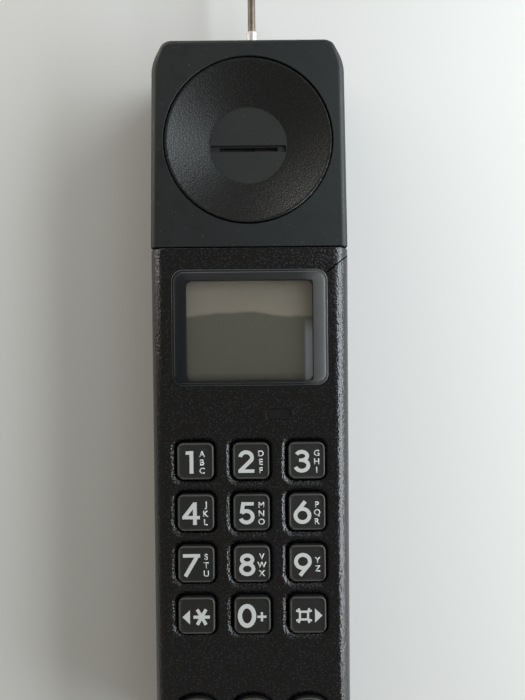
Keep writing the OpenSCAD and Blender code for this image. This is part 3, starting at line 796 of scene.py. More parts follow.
class Finishes:
    """Every finish of the phone, each made once."""

    def __init__(self) -> None:
        """Make the materials."""
        blue_black, grey_black = (0.0105, 0.0103, 0.0160), (0.0052, 0.0072, 0.0098)
        self.shell = GrainedPlastic("grained_shell", blue_black, 0.62 * MM, 0.08 * MM, 0.19).make()
        self.head = SmoothPlastic("smooth_head", (0.0068, 0.0088, 0.0098), 0.47).make()
        self.dish = GrainedPlastic("textured_dish", grey_black, 0.5 * MM, 0.04 * MM, 0.34).make()
        self.disc = SmoothPlastic("dish_disc", (0.0115, 0.0117, 0.0118), 0.6, dust=0.2).make()
        self.key_face = SmoothPlastic("key_face", (0.0105, 0.0102, 0.0098), 0.5, 0.25 * MM, 0.012 * MM).make()
        # painted highlight: the keys' rims are the key plastic made lighter, as if their bevels caught the
        # light, with more dust
        self.key_rim_painted_highlight = SmoothPlastic("key_rim_painted_highlight", (0.055, 0.053, 0.048), 0.4, dust=0.5).make()
        self.ink = Print("figure_ink").make()
        self.red_ink = Print("red_ink", (0.35, 0.035, 0.03)).make()
        self.green_ink = Print("green_ink", (0.05, 0.28, 0.08)).make()
        self.lens = ClearPlastic("clear_lens").make()
        # the lens's border: dark print with painted shade at the left and a painted reflection at the right
        self.lens_border_painted_light = LensBorderPaintedLight("lens_border_painted_light").make()
        # painted highlight: an opaque pale grey for the lens's rounded edge, as if it caught the light, with
        # dust
        self.lens_edge_painted_highlight = SmoothPlastic("lens_edge_painted_highlight", (0.085, 0.089, 0.097), 0.3, dust=1.0).make()
        self.bezel = SmoothPlastic("bezel_black", (0.010, 0.011, 0.013), 0.3, dust=0.1).make()
        self.dark_lens = SmoothPlastic("indicator_dark", (0.006, 0.005, 0.006), 0.25, dust=0.1).make()
        self.black = SmoothPlastic("plain_black", (0.012, 0.012, 0.013), 0.45).make()
        self.white = SmoothPlastic("plain_white", (0.62, 0.62, 0.58), 0.45, dust=0.0).make()
        self.rubber = SmoothPlastic("silicone_mat", (0.06, 0.062, 0.07), 0.75, dust=0.1).make()
        self.steel = Metal("tinned_steel", (0.62, 0.63, 0.64), (0.42, 0.42, 0.41)).make()
        self.brass = Metal("gold_flash", (0.72, 0.5, 0.2), (0.5, 0.33, 0.14)).make()
        self.nickel = Metal("worn_nickel", (0.80, 0.79, 0.77), (0.62, 0.6, 0.56), 0.55).make()
        self.copper = Metal("browned_rod", (0.24, 0.20, 0.165), (0.17, 0.135, 0.11), 0.5, 1500).make()
        self.board = Board("circuit_board").make()
        self.wrap = SmoothPlastic("cell_wrap", (0.03, 0.1, 0.26), 0.3, dust=0.0).make()
        self.lcd = self.display_glass().make()

    @staticmethod
    def display_glass() -> LcdGlass:
        """The display's glass, with the line of its painted reflection placed on the panel, and its painted
        reflection band and painted shade placed inside the lens's border.
        """
        low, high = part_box("lcd_panel")
        turn = high.y - 0.34 * (high.y - low.y)
        low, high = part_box("display_lens")
        return LcdGlass("lcd_glass", reflection_edge_y=turn, low_y=low.y + MM, high_x=high.x - LENS_BORDER)

    def for_slot(self, slot: str) -> bpy.types.Material:
        """The finish that a record slot's frame nodes wear."""
        return {
            "body_plastic": self.shell, "head_plastic": self.head, "key_plastic": self.key_face,
            "clear_lens": self.lens, "dark_lens": self.dark_lens, "lcd_glass": self.lcd,
            "white_plastic": self.white, "black_plastic": self.black, "mat_rubber": self.rubber,
            "circuit_board": self.board, "tinned_steel": self.steel, "brass_parts": self.brass,
            "nickel": self.nickel, "copper_rod": self.copper, "cell_wrap": self.wrap,
        }[slot]


# ---------------------------------------------------------------- the phone


DIGIT_KEYS = ["key_1", "key_2", "key_3", "key_4", "key_5", "key_6", "key_7", "key_8", "key_9"]
SQUARE_KEYS = DIGIT_KEYS + ["key_star", "key_0", "key_hash"]
OVAL_KEYS = ["key_end", "key_menu", "key_call"]


@dataclass
class Layout:
    """Places and heights that several pieces share, taken from the frame's boxes."""

    seam_gap: float = 0.3 * MM
    flange_out: float = 0.9 * MM
    flange_t: float = 0.8 * MM
    face_wall: float = 2.6 * MM
    wall: float = 2.0 * MM
    head_tilt: float = math.radians(2)
    dish_depth: float = 4.0 * MM
    rim_t: float = 1.4 * MM
    boss_r: float = 2.3 * MM
    pilot_r: float = 0.9 * MM
    side_band: float = 3.6 * MM
    foot_pull: float = 0.42 * MM
    foot_reach: float = 28 * MM
    head_pull: float = 0.3 * MM
    head_reach: float = 55 * MM

    def __post_init__(self) -> None:
        """Read the frame."""
        self.front_low, self.front_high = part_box("front_shell")
        self.head_low, self.head_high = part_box("head_cover")
        self.face_z = self.front_high.z
        self.split_z = self.front_low.z
        self.inner_z = self.face_z - self.face_wall
        self.seam_y = self.front_high.y + self.seam_gap / 2
        self.lens_low, self.lens_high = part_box("display_lens")
        self.screw_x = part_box("case_screws")[1].x - 1.9 * MM
        self.half_width = self.front_high.x

    def centre(self, node: str) -> Vector:
        """Middle of a node's box."""
        low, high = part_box(node)
        return (low + high) / 2

    def draw_in(self, obj: bpy.types.Object) -> None:
        """Draw an outer shell's sides in, a little below the display and towards the head's top."""
        for vertex in obj.data.vertices:
            side = min(max((abs(vertex.co.x) - (self.half_width - self.side_band)) / MM, 0), 1)
            down = min(max((self.seam_y - vertex.co.y) / self.foot_reach, 0), 1)
            up = min(max((vertex.co.y - self.seam_y) / self.head_reach, 0), 1)
            pull = self.foot_pull * down * down * (3 - 2 * down) + self.head_pull * up
            vertex.co.x -= math.copysign(pull * side, vertex.co.x)

    def boss(self, foot: Vector, top: float, pilot_top: float, sides: Sequence[int]) -> bpy.types.Object:
        """A screw boss that stands up from its foot, with its pilot hole.

        Args:
            foot: middle of its lower end.
            top: height of its upper end.
            pilot_top: height of the hole's upper end.
            sides: faces round the boss and round the hole.

        Returns:
            The boss.
        """
        boss = Bench.rod("boss", foot, Vector((foot.x, foot.y, top)), self.boss_r, sides[0])
        below = foot - Vector((0, 0, MM))
        hole = Bench.rod("pilot", below, Vector((foot.x, foot.y, pilot_top)), self.pilot_r, sides[1])
        Bench.combine(boss, hole, Join.CUT)
        return boss

    def on_head(self) -> Matrix:
        """Axes on the head's sloping face, over the earpiece's centre."""
        y = self.centre("earpiece_insert").y + math.sin(self.head_tilt) * self.rim_t / 2
        drop = (y - self.seam_y) * math.tan(self.head_tilt)
        z = self.head_high.z - drop
        return Matrix.Translation((0, y, z)) @ Matrix.Rotation(-self.head_tilt, 4, "X")


@dataclass
class FrontShell:
    """Grained front shell, with the display's seat and a sloping well round each key."""

    layout: Layout
    finishes: Finishes
    foot_r: float = 7.0 * MM
    front_r: float = 4.5 * MM
    well_margin: float = 1.6 * MM
    well_depth: float = 1.2 * MM
    key_clear: float = 0.2 * MM
    lens_seat: float = 1.4 * MM
    key_r: float = 1.7 * MM
    crack_w: float = 0.34 * MM
    window: Point = (33.4 * MM, 26.4 * MM)
    window_drop: float = 0.75 * MM

    def build(self) -> bpy.types.Object:
        """Model the shell and give it its finish."""
        lay = self.layout
        shell = self.skin("front_shell_skin", 0)
        Bench.combine(shell, self.skin("hollow", lay.wall), Join.CUT)
        Bench.combine(shell, self.bosses(), Join.ADD)
        tools = [self.well(node) for node in SQUARE_KEYS + OVAL_KEYS]
        tools += [self.display_seat(), self.indicator_seat(), self.mic_slot(), self.socket_notch()]
        Bench.cut(shell, tools)
        Bench.cut(shell, [self.crack()])
        Bench.dress(shell, self.finishes.shell, self.finishes.bezel)
        self.line_seat(shell)
        lay.draw_in(shell)
        Bench.smooth(shell)
        return Bench.stand_in(shell, "handset", "body_plastic", "front_shell")

    def skin(self, name: str, inset: float) -> bpy.types.Object:
        """The shell's outer block, or its hollow when shrunk by an inset."""
        low, high = self.layout.front_low.copy(), self.layout.front_high.copy()
        low += Vector((inset, inset, -inset))
        high -= Vector((inset, 0.8 * inset, self.layout.face_wall if inset else 0))
        block = Bench.box(name, low, high)

        def foot_edges(a: Vector, b: Vector) -> bool:
            """The upright edges of the lower end."""
            return abs(a.z - b.z) > NEAR and max(a.y, b.y) < low.y + NEAR

        def long_edges(a: Vector, b: Vector) -> bool:
            """The edges round the face, but not the one at the seam."""
            return min(a.z, b.z) > high.z - NEAR and min(a.y, b.y) < high.y - 0.6 * MM

        def seam_edges(a: Vector, b: Vector) -> bool:
            """The outer edges of the end at the seam."""
            on_end = min(a.y, b.y) > high.y - NEAR
            return on_end and max(a.z, b.z) > low.z + NEAR and abs(a.z - b.z) < 3 * self.front_r

        Bench.bevel(block, foot_edges, self.foot_r - inset, 12)
        Bench.bevel(block, long_edges, self.front_r - inset, 9)
        if not inset:
            Bench.bevel(block, seam_edges, 0.25 * MM, 3)
        return block

    def bosses(self) -> bpy.types.Object:
        """Screw bosses under the face, with their pilot holes."""
        lay = self.layout
        top = lay.inner_z + 0.5 * MM
        rows = ((lay.seam_y - 2.7 * MM, lay.split_z), (lay.front_low.y + 6.5 * MM, 17.2 * MM))
        return Bench.join("bosses", [
            lay.boss(Vector((x, y, z)), top, lay.inner_z, (24, 16))
            for y, z in rows for x in (-lay.screw_x, lay.screw_x)
        ])

    def well(self, node: str) -> bpy.types.Object:
        """Cutter for a key's hole and the slope that runs down to it."""
        lay = self.layout
        low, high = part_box(node)
        out = 2 * (lay.flange_out - self.key_clear)
        w, h = high.x - low.x - out, high.y - low.y - out
        reach = self.well_margin - self.key_clear
        slope = [(0.0, 0.0), (0.1, 0.06), (0.18, 0.26), (0.26, 0.42), (0.36, 0.52), (0.48, 0.61), (0.62, 0.7),
                 (0.76, 0.785), (0.9, 0.865), (1.02, 0.93), (1.11, 0.975), (1.19, 1.0), (1.2, 1.5)]
        floor = lay.face_z - self.well_depth
        centre = middle(low, high)
        if node in OVAL_KEYS:
            ovals = [(lay.inner_z - MM, w, h)]
            ovals += [(floor + up * self.well_depth, w + 2 * reach * t, h + 2 * reach * t) for t, up in slope]
            return Ovals.stack("well", centre, ovals)
        rings = [(lay.inner_z - MM, w, h, self.key_r)]
        rings += [
            (floor + up * self.well_depth, w + 2 * reach * t, h + 2 * reach * t, self.key_r + 0.9 * reach * t)
            for t, up in slope
        ]
        return Bench.stack("well", centre, rings, 8)

    def display_seat(self) -> bpy.types.Object:
        """Cutter for the lens's seat and the window through its floor."""
        lay = self.layout
        low, high = lay.lens_low, lay.lens_high
        w, h = high.x - low.x + 0.2 * MM, high.y - low.y + 0.2 * MM
        centre = middle(low, high)
        seat_z = lay.face_z - self.lens_seat
        lip, r = 0.1 * MM, 3 * MM
        rings = [
            (seat_z, w, h, r), (lay.face_z - 0.12 * MM, w, h, r),
            (lay.face_z, w + lip, h + lip, r), (lay.face_z + MM, w + lip, h + lip, r),
        ]
        seat = Bench.stack("seat", centre, rings, 8)
        place = (centre[0] - 0.1 * MM, centre[1] - self.window_drop)
        hole = [(lay.inner_z - MM, *self.window, 1.5 * MM), (seat_z + 0.01 * MM, *self.window, 1.5 * MM)]
        Bench.combine(seat, Bench.stack("window", place, hole), Join.ADD)
        return seat

    def line_seat(self, shell: bpy.types.Object) -> None:
        """Give the floor and sides of the display's seat the smooth black finish."""
        lay = self.layout
        for face in shell.data.polygons:
            spot = face.center
            inside = all(lay.lens_low[i] - 0.2 * MM < spot[i] < lay.lens_high[i] + 0.2 * MM for i in (0, 1))
            face.material_index = int(inside and lay.inner_z - 0.1 * MM < spot.z < lay.face_z - 0.01 * MM)

    def indicator_seat(self) -> bpy.types.Object:
        """Cutter for the indicator's pill-shaped recess and its hole."""
        lay = self.layout
        spot = lay.centre("indicator_lens")
        rings = [
            (lay.face_z - 0.6 * MM, 6.4 * MM, 2.7 * MM, 1.34 * MM),
            (lay.face_z - 0.2 * MM, 6.5 * MM, 2.8 * MM, 1.39 * MM),
            (lay.face_z - 0.06 * MM, 6.7 * MM, 3.0 * MM, 1.49 * MM),
            (lay.face_z, 7.0 * MM, 3.3 * MM, 1.6 * MM), (lay.face_z + MM, 7.0 * MM, 3.3 * MM, 1.6 * MM),
        ]
        recess = Bench.stack("recess", (spot.x, spot.y), rings, 8)
        pipe = (5.2 * MM, 1.8 * MM, 0.89 * MM)
        ends = [(lay.inner_z - MM, *pipe), (lay.face_z - 0.59 * MM, *pipe)]
        hole = Bench.stack("hole", (spot.x, spot.y), ends)
        Bench.combine(recess, hole, Join.ADD)
        return recess

    def mic_slot(self) -> bpy.types.Object:
        """Cutter for the microphone's slot."""
        lay = self.layout
        spot = lay.centre("microphone")
        slit, mouth = (8 * MM, 1.2 * MM, 0.59 * MM), (8.4 * MM, 1.6 * MM, 0.79 * MM)
        rings = [
            (lay.inner_z - MM, *slit), (lay.face_z - 0.2 * MM, *slit),
            (lay.face_z, *mouth), (lay.face_z + MM, *mouth),
        ]
        return Bench.stack("slot", (spot.x, spot.y), rings)

    def socket_notch(self) -> bpy.types.Object:
        """Cutter for the bottom socket's notch in the end wall."""
        low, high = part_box("system_connector")
        gap = 0.2 * MM
        return Bench.box(
            "notch", (low.x - gap, self.layout.front_low.y - MM, self.layout.split_z - MM),
            (high.x + gap, self.layout.front_low.y + 4 * MM, high.z + gap),
        )

    def crack(self) -> bpy.types.Object:
        """Cutter for the hairline crack from the display's corner to the long edge."""
        lay = self.layout
        start = Vector((lay.lens_high.x - 0.2 * MM, lay.lens_high.y - 0.9 * MM, 25 * MM))
        end = Vector((lay.front_high.x + 0.5 * MM, lay.seam_y - 1.6 * MM, 25 * MM))
        along = end - start
        half = self.crack_w / 2
        slit = Bench.box("slit", (0, -half, -1.6 * MM), (along.length, half, 4 * MM))
        slit.data.transform(Matrix.Translation(start) @ along.to_track_quat("X", "Z").to_matrix().to_4x4())
        return slit


class Ovals:
    """Shapes with an oval outline."""

    @staticmethod
    def stack(name: str, centre: Point, rings: Sequence[OvalRing], sides: int = 40) -> bpy.types.Object:
        """Draw an oval up through a stack of rings.

        Args:
            name: the piece's name.
            centre: its middle in x and y.
            rings: height, width and height along y of each ring, from the bottom up.
            sides: points round the oval.

        Returns:
            The closed solid.
        """
        Bench.clear()
        bpy.ops.mesh.primitive_circle_add(
            vertices=sides, radius=0.5, fill_type="NGON", location=(*centre, rings[0][0])
        )
        bpy.context.object.scale = (rings[0][1], rings[0][2], 1)
        obj = Bench.settle(name)
        bpy.ops.object.mode_set(mode="EDIT")
        bpy.ops.mesh.select_all(action="SELECT")
        last = rings[0]
        for ring in rings[1:]:
            bpy.ops.mesh.extrude_region_move(TRANSFORM_OT_translate={"value": (0, 0, ring[0] - last[0])})
            if ring[1:] != last[1:]:
                bpy.ops.transform.resize(
                    value=(ring[1] / last[1], ring[2] / last[2], 1), center_override=(*centre, ring[0])
                )
            last = ring
        Bench.tidy_normals()
        bpy.ops.object.mode_set(mode="OBJECT")
        return obj


@dataclass
class Head:
    """Smooth head cover with the dished earpiece let into it."""

    layout: Layout
    finishes: Finishes
    horn: Point = (3.2 * MM, 6.4 * MM)
    edge_r: float = 1.9 * MM
    groove_r: float = 22.4 * MM
    groove_w: float = 0.44 * MM
    disc_r: float = 10.5 * MM
    insert_t: float = 1.2 * MM
    channel: Point = (20.6 * MM, 1.9 * MM)
    slot: Point = (16.0 * MM, 1.1 * MM)
    channel_drop: float = 0.95 * MM
    cone_steps: int = 14

    def build(self) -> list[bpy.types.Object]:
        """Model the cover and the insert."""
        return [self.cover(), self.insert()]

    def block(self, name: str, inset: float) -> bpy.types.Object:
        """The head's outer block, or its hollow when shrunk by an inset."""
        lay = self.layout
        low, high = lay.head_low.copy(), lay.head_high.copy()
        low += Vector((inset, 0.8 * inset, -inset))
        high -= Vector((inset, inset, 1.1 * inset))
        block = Bench.box(name, low, high)
        far_z = high.z - (high.y - low.y) * math.tan(lay.head_tilt)
        for vertex in block.data.vertices:
            if vertex.co.z > high.z - NEAR and vertex.co.y > high.y - NEAR:
                vertex.co.z = far_z

        def corners(a: Vector, b: Vector) -> bool:
            """The upright edges of the far end."""
            return abs(a.z - b.z) > 4 * MM and min(a.y, b.y) > high.y - NEAR

        Bench.bevel(block, corners, self.horn[0], 1)
        slide = self.horn[1] - self.horn[0]
        for vertex in block.data.vertices:
            if abs(vertex.co.x) > high.x - NEAR and vertex.co.y > low.y + MM:
                vertex.co.y -= slide
                if vertex.co.z > low.z + MM:
                    vertex.co.z += slide * math.tan(lay.head_tilt)

        def horn_edges(a: Vector, b: Vector) -> bool:
            """The upright edges of the cut corners."""
            return abs(a.z - b.z) > 4 * MM and min(a.y, b.y) > low.y + MM

        def rim(a: Vector, b: Vector) -> bool:
            """The edges round the face, but not the one at the seam."""
            return min(a.z, b.z) > far_z - NEAR and max(a.y, b.y) > low.y + NEAR

        def foot(a: Vector, b: Vector) -> bool:
            """The outer edges of the end at the seam."""
            return max(a.y, b.y) < low.y + NEAR and max(a.z, b.z) > low.z + NEAR

        Bench.bevel(block, horn_edges, 2.4 * MM, 5)
        Bench.bevel(block, rim, (MM if inset else self.edge_r), 8)
        if not inset:
            Bench.bevel(block, foot, 0.2 * MM, 2)
        return block

    def cover(self) -> bpy.types.Object:
        """Head cover, with the seat and the groove round the earpiece, and two screw bosses."""
        lay = self.layout
        cover = self.block("head_cover_skin", 0)
        Bench.combine(cover, self.block("hollow", lay.wall), Join.CUT)
        y, top = lay.head_high.y - 8.4 * MM, lay.inner_z - 2.2 * MM
        feet = [Vector((x, y, lay.split_z)) for x in (-lay.screw_x, lay.screw_x)]
        bosses = [lay.boss(foot, top, top - 0.8 * MM, (32, 32)) for foot in feet]
        Bench.combine(cover, Bench.join("bosses", bosses), Join.ADD)
        place = lay.on_head()
        r = self.groove_r + self.groove_w / 2
        seat = Bench.spin("seat", [
            (0, -12 * MM), (self.groove_r - MM, -12 * MM), (self.groove_r - MM, -1.4 * MM), (r, -1.4 * MM),
            (r, -0.25 * MM), (r + 0.05 * MM, -0.08 * MM), (r + 0.14 * MM, 0), (r + 0.3 * MM, 0.4 * MM),
            (r + 0.3 * MM, 3 * MM), (0, 3 * MM),
        ], place, 128)
        Bench.combine(cover, seat, Join.CUT)
        Bench.dress(cover, self.finishes.head)
        lay.draw_in(cover)
        Bench.smooth(cover)
        return Bench.stand_in(cover, "handset", "head_plastic", "head_cover")

    def insert(self) -> bpy.types.Object:
        """Dished insert: rim, textured cone and flat disc with a channel and a slot across it."""
        r = self.groove_r - self.groove_w / 2
        depth = self.layout.dish_depth
        inner = self.disc_r + 0.35 * MM
        outer = r - 0.75 * MM
        foot, rise = -depth + 0.05 * MM, depth - 0.15 * MM
        shares = [i / self.cone_steps for i in range(self.cone_steps + 1)]
        cone = [(inner + (outer - inner) * t, foot + rise * (0.78 * t + 0.22 * t * t)) for t in shares]
        profile = [(0, -depth), (self.disc_r, -depth)] + cone
        profile += [
            (r - 0.6 * MM, -0.03 * MM), (r - 0.45 * MM, 0), (r - 0.15 * MM, -0.01 * MM), (r, -0.16 * MM),
            (r, -1.4 * MM), (r - 1.3 * MM, -1.4 * MM), (self.disc_r + MM, -depth - self.insert_t),
            (0, -depth - self.insert_t),
        ]
        place = self.layout.on_head()
        insert = Bench.spin("earpiece_dish", profile, place, 128)
        cutters = []
        floor = -depth - self.insert_t / 2
        for (w, h), z0, z1 in ((self.channel, floor, 2 * MM), (self.slot, floor - 3 * MM, floor + 0.05 * MM)):
            rings = [(z0, w, h, 0.3 * MM), (z1, w, h, 0.3 * MM)]
            tool = Bench.stack("tool", (0, -self.channel_drop), rings, 3)
            tool.data.transform(place)
            cutters.append(tool)
        Bench.combine(cutters[0], cutters[1], Join.ADD)
        Bench.combine(insert, cutters[0], Join.CUT)
        Bench.dress(insert, self.finishes.dish, self.finishes.disc)
        back = place.inverted()
        for face in insert.data.polygons:
            spot = back @ face.center
            if math.hypot(spot.x, spot.y) < self.disc_r + 0.1 * MM:
                face.material_index = 1
        Bench.smooth(insert, 25)
        return Bench.stand_in(insert, "handset", "head_plastic", "earpiece_insert")


@dataclass
class Display:
    """Clear raised lens, flat in the middle, with a sloping border inside a rounded edge."""

    layout: Layout
    finishes: Finishes
    radius: float = 3.0 * MM
    edge: float = 0.85 * MM
    border: Point = (LENS_BORDER, 1.9 * MM)
    border_drop: float = 0.8 * MM

    def build(self) -> bpy.types.Object:
        """Model the lens."""
        low, high = self.layout.lens_low, self.layout.lens_high
        w, h = high.x - low.x, high.y - low.y
        face_z = self.layout.face_z
        steps = [(0.0, 0.02), (0.05, 0.12), (0.14, 0.18), (0.66, 0.22), (0.74, 0.34), (self.edge / MM, 0.4)]
        rings = [(low.z, w, h, self.radius)]
        rings += [
            (face_z + z * MM, w - 2 * x * MM, h - 2 * x * MM, self.radius - 0.8 * x * MM) for x, z in steps
        ]
        bx, by = self.border
        foot = rings[-1][0]
        for t, up in ((0.2, 0.28), (0.4, 0.52), (0.6, 0.72), (0.8, 0.87), (1.0, 0.96), (1.2, 1.0)):
            x, y = self.edge + (bx - self.edge) * t, self.edge + (by - self.edge) * t
            rings.append((foot + (high.z - foot) * up, w - 2 * x, h - 2 * y, 2.3 * MM - 1.1 * MM * min(t, 1)))
        centre = middle(low, high)
        lens = Bench.stack("display_window", centre, rings, 8)
        for vertex in lens.data.vertices:
            climb = min(max((vertex.co.z - foot) / (0.9 * (high.z - foot)), 0), 1)
            vertex.co.y -= self.border_drop * climb
        Bench.dress(lens, self.finishes.lens, self.finishes.lens_border_painted_light, self.finishes.lens_edge_painted_highlight)
        for face in lens.data.polygons:
            x = w / 2 - abs(face.center.x - centre[0])
            y = h / 2 - abs(face.center.y - centre[1])
            # round the lens's edge, the steep faces take the opaque grey edge finish, a painted highlight,
            # and the flatter ones the border's finish
            if face.normal.z > 0.05 and min(x, y) < self.edge:
                face.material_index = 2 if face.normal.z < 0.9 else 1
            # the other sloping faces take the border's finish, with its painted shade and painted reflection
            elif 0.05 < face.normal.z < 0.999:
                face.material_index = 1
        Bench.smooth(lens, 24, weighted=False)
        return Bench.stand_in(lens, "handset", "clear_lens", "display_lens")


class Glyphs:
    """Figures and signs drawn as flat ribbons and flat shapes, in millimetres about their middle."""

    @staticmethod
    def arc(cx: float, cy: float, rx: float, ry: float, start: float, end: float) -> list[Point]:
        """Points round part of an ellipse, from one angle to another in degrees."""
        count = max(4, round(abs(end - start) / 9))
        angles = [math.radians(start + (end - start) * i / count) for i in range(count + 1)]
        return [(cx + rx * math.cos(a), cy + ry * math.sin(a)) for a in angles]

    @staticmethod
    def strokes(sign: str) -> list[tuple[list[Point], float]]:
        """Centre lines and widths of a sign's strokes.

        Args:
            sign: the figure or sign.

        Returns:
            Each stroke's points and width.
        """
        arc = Glyphs.arc
        bar = 0.88
        pen = 1.0
        table = {
            "1": [([(0, -2.95), (0, 2.95)], pen), ([(-1.5, 2.46), (0.2, 2.46)], bar)],
            "2": [
                (arc(-0.05, 1.08, 1.55, 1.42, 172, -28) + [(-1.75, -2.5)], pen),
                ([(-2.1, -2.46), (2.1, -2.46)], bar),
            ],
            "3": [
                (arc(-0.05, 1.38, 1.42, 1.1, 158, -85), pen),
                (arc(-0.05, -1.08, 1.7, 1.4, 85, -163), pen),
                ([(-0.75, 0.28), (0.15, 0.28)], 0.85),
            ],
            "4": [
                ([(0.98, -2.95), (0.98, 2.95)], pen), ([(-2.3, -1.02), (2.3, -1.02)], bar),
                ([(0.9, 2.5), (-1.95, -1.1)], 1.02),
            ],
            "5": [
                ([(-0.95, 2.46), (1.85, 2.46)], bar), ([(-0.88, 2.9), (-1.32, -0.05)], 1.0),
                (arc(-0.08, -0.92, 1.62, 1.5, 142, -160), pen),
            ],
            "6": [
                (arc(0, -0.72, 1.82, 1.72, 0, 360), pen),
                ([(0.75, 2.95), (-1.42, 0.28)], pen),
            ],
            "7": [([(-2.25, 2.46), (2.25, 2.46)], bar), ([(1.65, 2.6), (-1.62, -2.95)], pen)],
            "8": [
                (arc(0, 1.36, 1.38, 1.05, 0, 360), pen), (arc(0, -1.12, 1.62, 1.36, 0, 360), pen),
            ],
            "9": [
                (arc(0, 0.72, 1.82, 1.72, 0, 360), pen),
                ([(-0.75, -2.95), (1.42, -0.28)], pen),
            ],
            "0": [(arc(0, 0, 1.85, 2.55, 0, 360), 1.14)],
            "+": [([(-1.2, 0), (1.2, 0)], 0.58), ([(0, -1.2), (0, 1.2)], 0.58)],
            "*": [
                ([(-2.15, 0), (2.15, 0)], 0.8),
                ([(-1.15, -2.0), (1.15, 2.0)], 0.85), ([(-1.15, 2.0), (1.15, -2.0)], 0.85),
            ],
            "#": [
                ([(-1.42, 1.9), (-1.06, 0.95), (-1.06, -0.95), (-1.42, -1.9)], 0.56),
                ([(1.42, 1.9), (1.06, 0.95), (1.06, -0.95), (1.42, -1.9)], 0.56),
                ([(-2.05, 1.32), (-1.0, 1.0), (1.0, 1.0), (2.05, 1.32)], 0.56),
                ([(-2.05, -1.32), (-1.0, -1.0), (1.0, -1.0), (2.05, -1.32)], 0.56),
            ],
        }
        return table[sign]

    @staticmethod
    def ribbon(points: Sequence[Point], width: float) -> tuple[list[Point], bool]:
        """Outline of a stroke: its left side, then its right side back again.

        Args:
            points: the centre line.
            width: the stroke's width.

        Returns:
            The outline's points, left side first, and whether the stroke closes on itself.
        """
        closed = math.dist(points[0], points[-1]) < 1e-6
        line = [Vector(p) for p in (points[:-1] if closed else points)]
        left, right = [], []
        for i, here in enumerate(line):
            before = line[i - 1] if i or closed else None
            after = line[(i + 1) % len(line)] if i + 1 < len(line) or closed else None
            one = (here - before).normalized() if before is not None else (after - here).normalized()
            two = (after - here).normalized() if after is not None else one
            mean = (one + two).normalized()
            normal = Vector((-mean.y, mean.x))
            reach = width / 2 / max(mean.dot(one), 0.5)
            left.append(tuple(here + normal * reach))
            right.append(tuple(here - normal * reach))
        return left + right[::-1], closed

    @staticmethod
    def prism(name: str, points: Sequence[Point], closed: bool, z0: float, z1: float) -> bpy.types.Object:
        """Flat solid from a stroke's outline, in metres.

        Args:
            name: the piece's name.
            points: the outline in millimetres.
            closed: whether it is a ring, with its inner side second.
            z0: its underside.
            z1: its top.

        Returns:
            The solid.
        """
        count = len(points)
        half = count // 2
        faces = []
        if closed:
            for i in range(half):
                j = (i + 1) % half
                faces.append([i, j, count - 1 - j, count - 1 - i])
        else:
            faces.append(list(range(count)))
        mesh = bpy.data.meshes.new(name)
        mesh.from_pydata([(x * MM, y * MM, z0) for x, y in points], [], faces)
        obj = Bench.piece(name, mesh)
        bpy.ops.object.mode_set(mode="EDIT")
        bpy.ops.mesh.select_all(action="SELECT")
        bpy.ops.mesh.extrude_region_move(TRANSFORM_OT_translate={"value": (0, 0, z1 - z0)})
        Bench.tidy_normals()
        bpy.ops.object.mode_set(mode="OBJECT")
        return obj

    @staticmethod
    def sign(sign: str, place: Point, z0: float, z1: float) -> bpy.types.Object:
        """One figure or sign, its strokes joined into one solid.

        Args:
            sign: the figure or sign, or < or > for a solid triangle.
            place: its middle, in metres.
            z0: its underside.
            z1: its top.

        Returns:
            The solid.
        """
        if sign in "<>":
            way = 1 if sign == ">" else -1
            triangle = [(-0.98 * way, -1.85), (0.98 * way, 0), (-0.98 * way, 1.85)]
            whole = Glyphs.prism("sign", triangle, False, z0, z1)
        else:
            parts = [
                Glyphs.prism("stroke", *Glyphs.ribbon(points, width), z0, z1)
                for points, width in Glyphs.strokes(sign)
            ]
            whole = parts[0]
            for part in parts[1:]:
                Bench.combine(whole, part, Join.ADD)
        whole.data.transform(Matrix.Translation((*place, 0)))
        return whole

    @staticmethod
    def letter(letter: str, place: Point, height: float, z0: float, z1: float) -> bpy.types.Object:
        """One small plain capital letter.

        Args:
            letter: the letter.
            place: its middle, in metres.
            height: its height, in metres.
            z0: its underside.
            z1: its top.

        Returns:
            The solid.
        """
        Bench.clear()
        bpy.ops.object.text_add(location=(0, 0, 0))
        text = bpy.context.object
        text.data.body = letter
        text.data.size = 1
        text.data.offset = 0.02
        text.data.resolution_u = 4
        bpy.ops.object.convert(target="MESH")
        obj = bpy.context.object
        corners = [Vector(c) for c in obj.bound_box]
        low = Vector([min(c[i] for c in corners) for i in range(3)])
        high = Vector([max(c[i] for c in corners) for i in range(3)])
        scale = height / CAPITAL
        centre = (low + high) / 2
        move = Matrix.Translation((*place, z0)) @ Matrix.Scale(scale, 4) @ Matrix.Translation(-centre)
        obj.data.transform(move)
        Bench.hold(obj)
        bpy.ops.object.mode_set(mode="EDIT")
        bpy.ops.mesh.select_all(action="SELECT")
        bpy.ops.mesh.extrude_region_move(TRANSFORM_OT_translate={"value": (0, 0, z1 - z0)})
        bpy.ops.mesh.select_all(action="SELECT")
        bpy.ops.mesh.normals_make_consistent(inside=False)
        bpy.ops.object.mode_set(mode="OBJECT")
        return obj


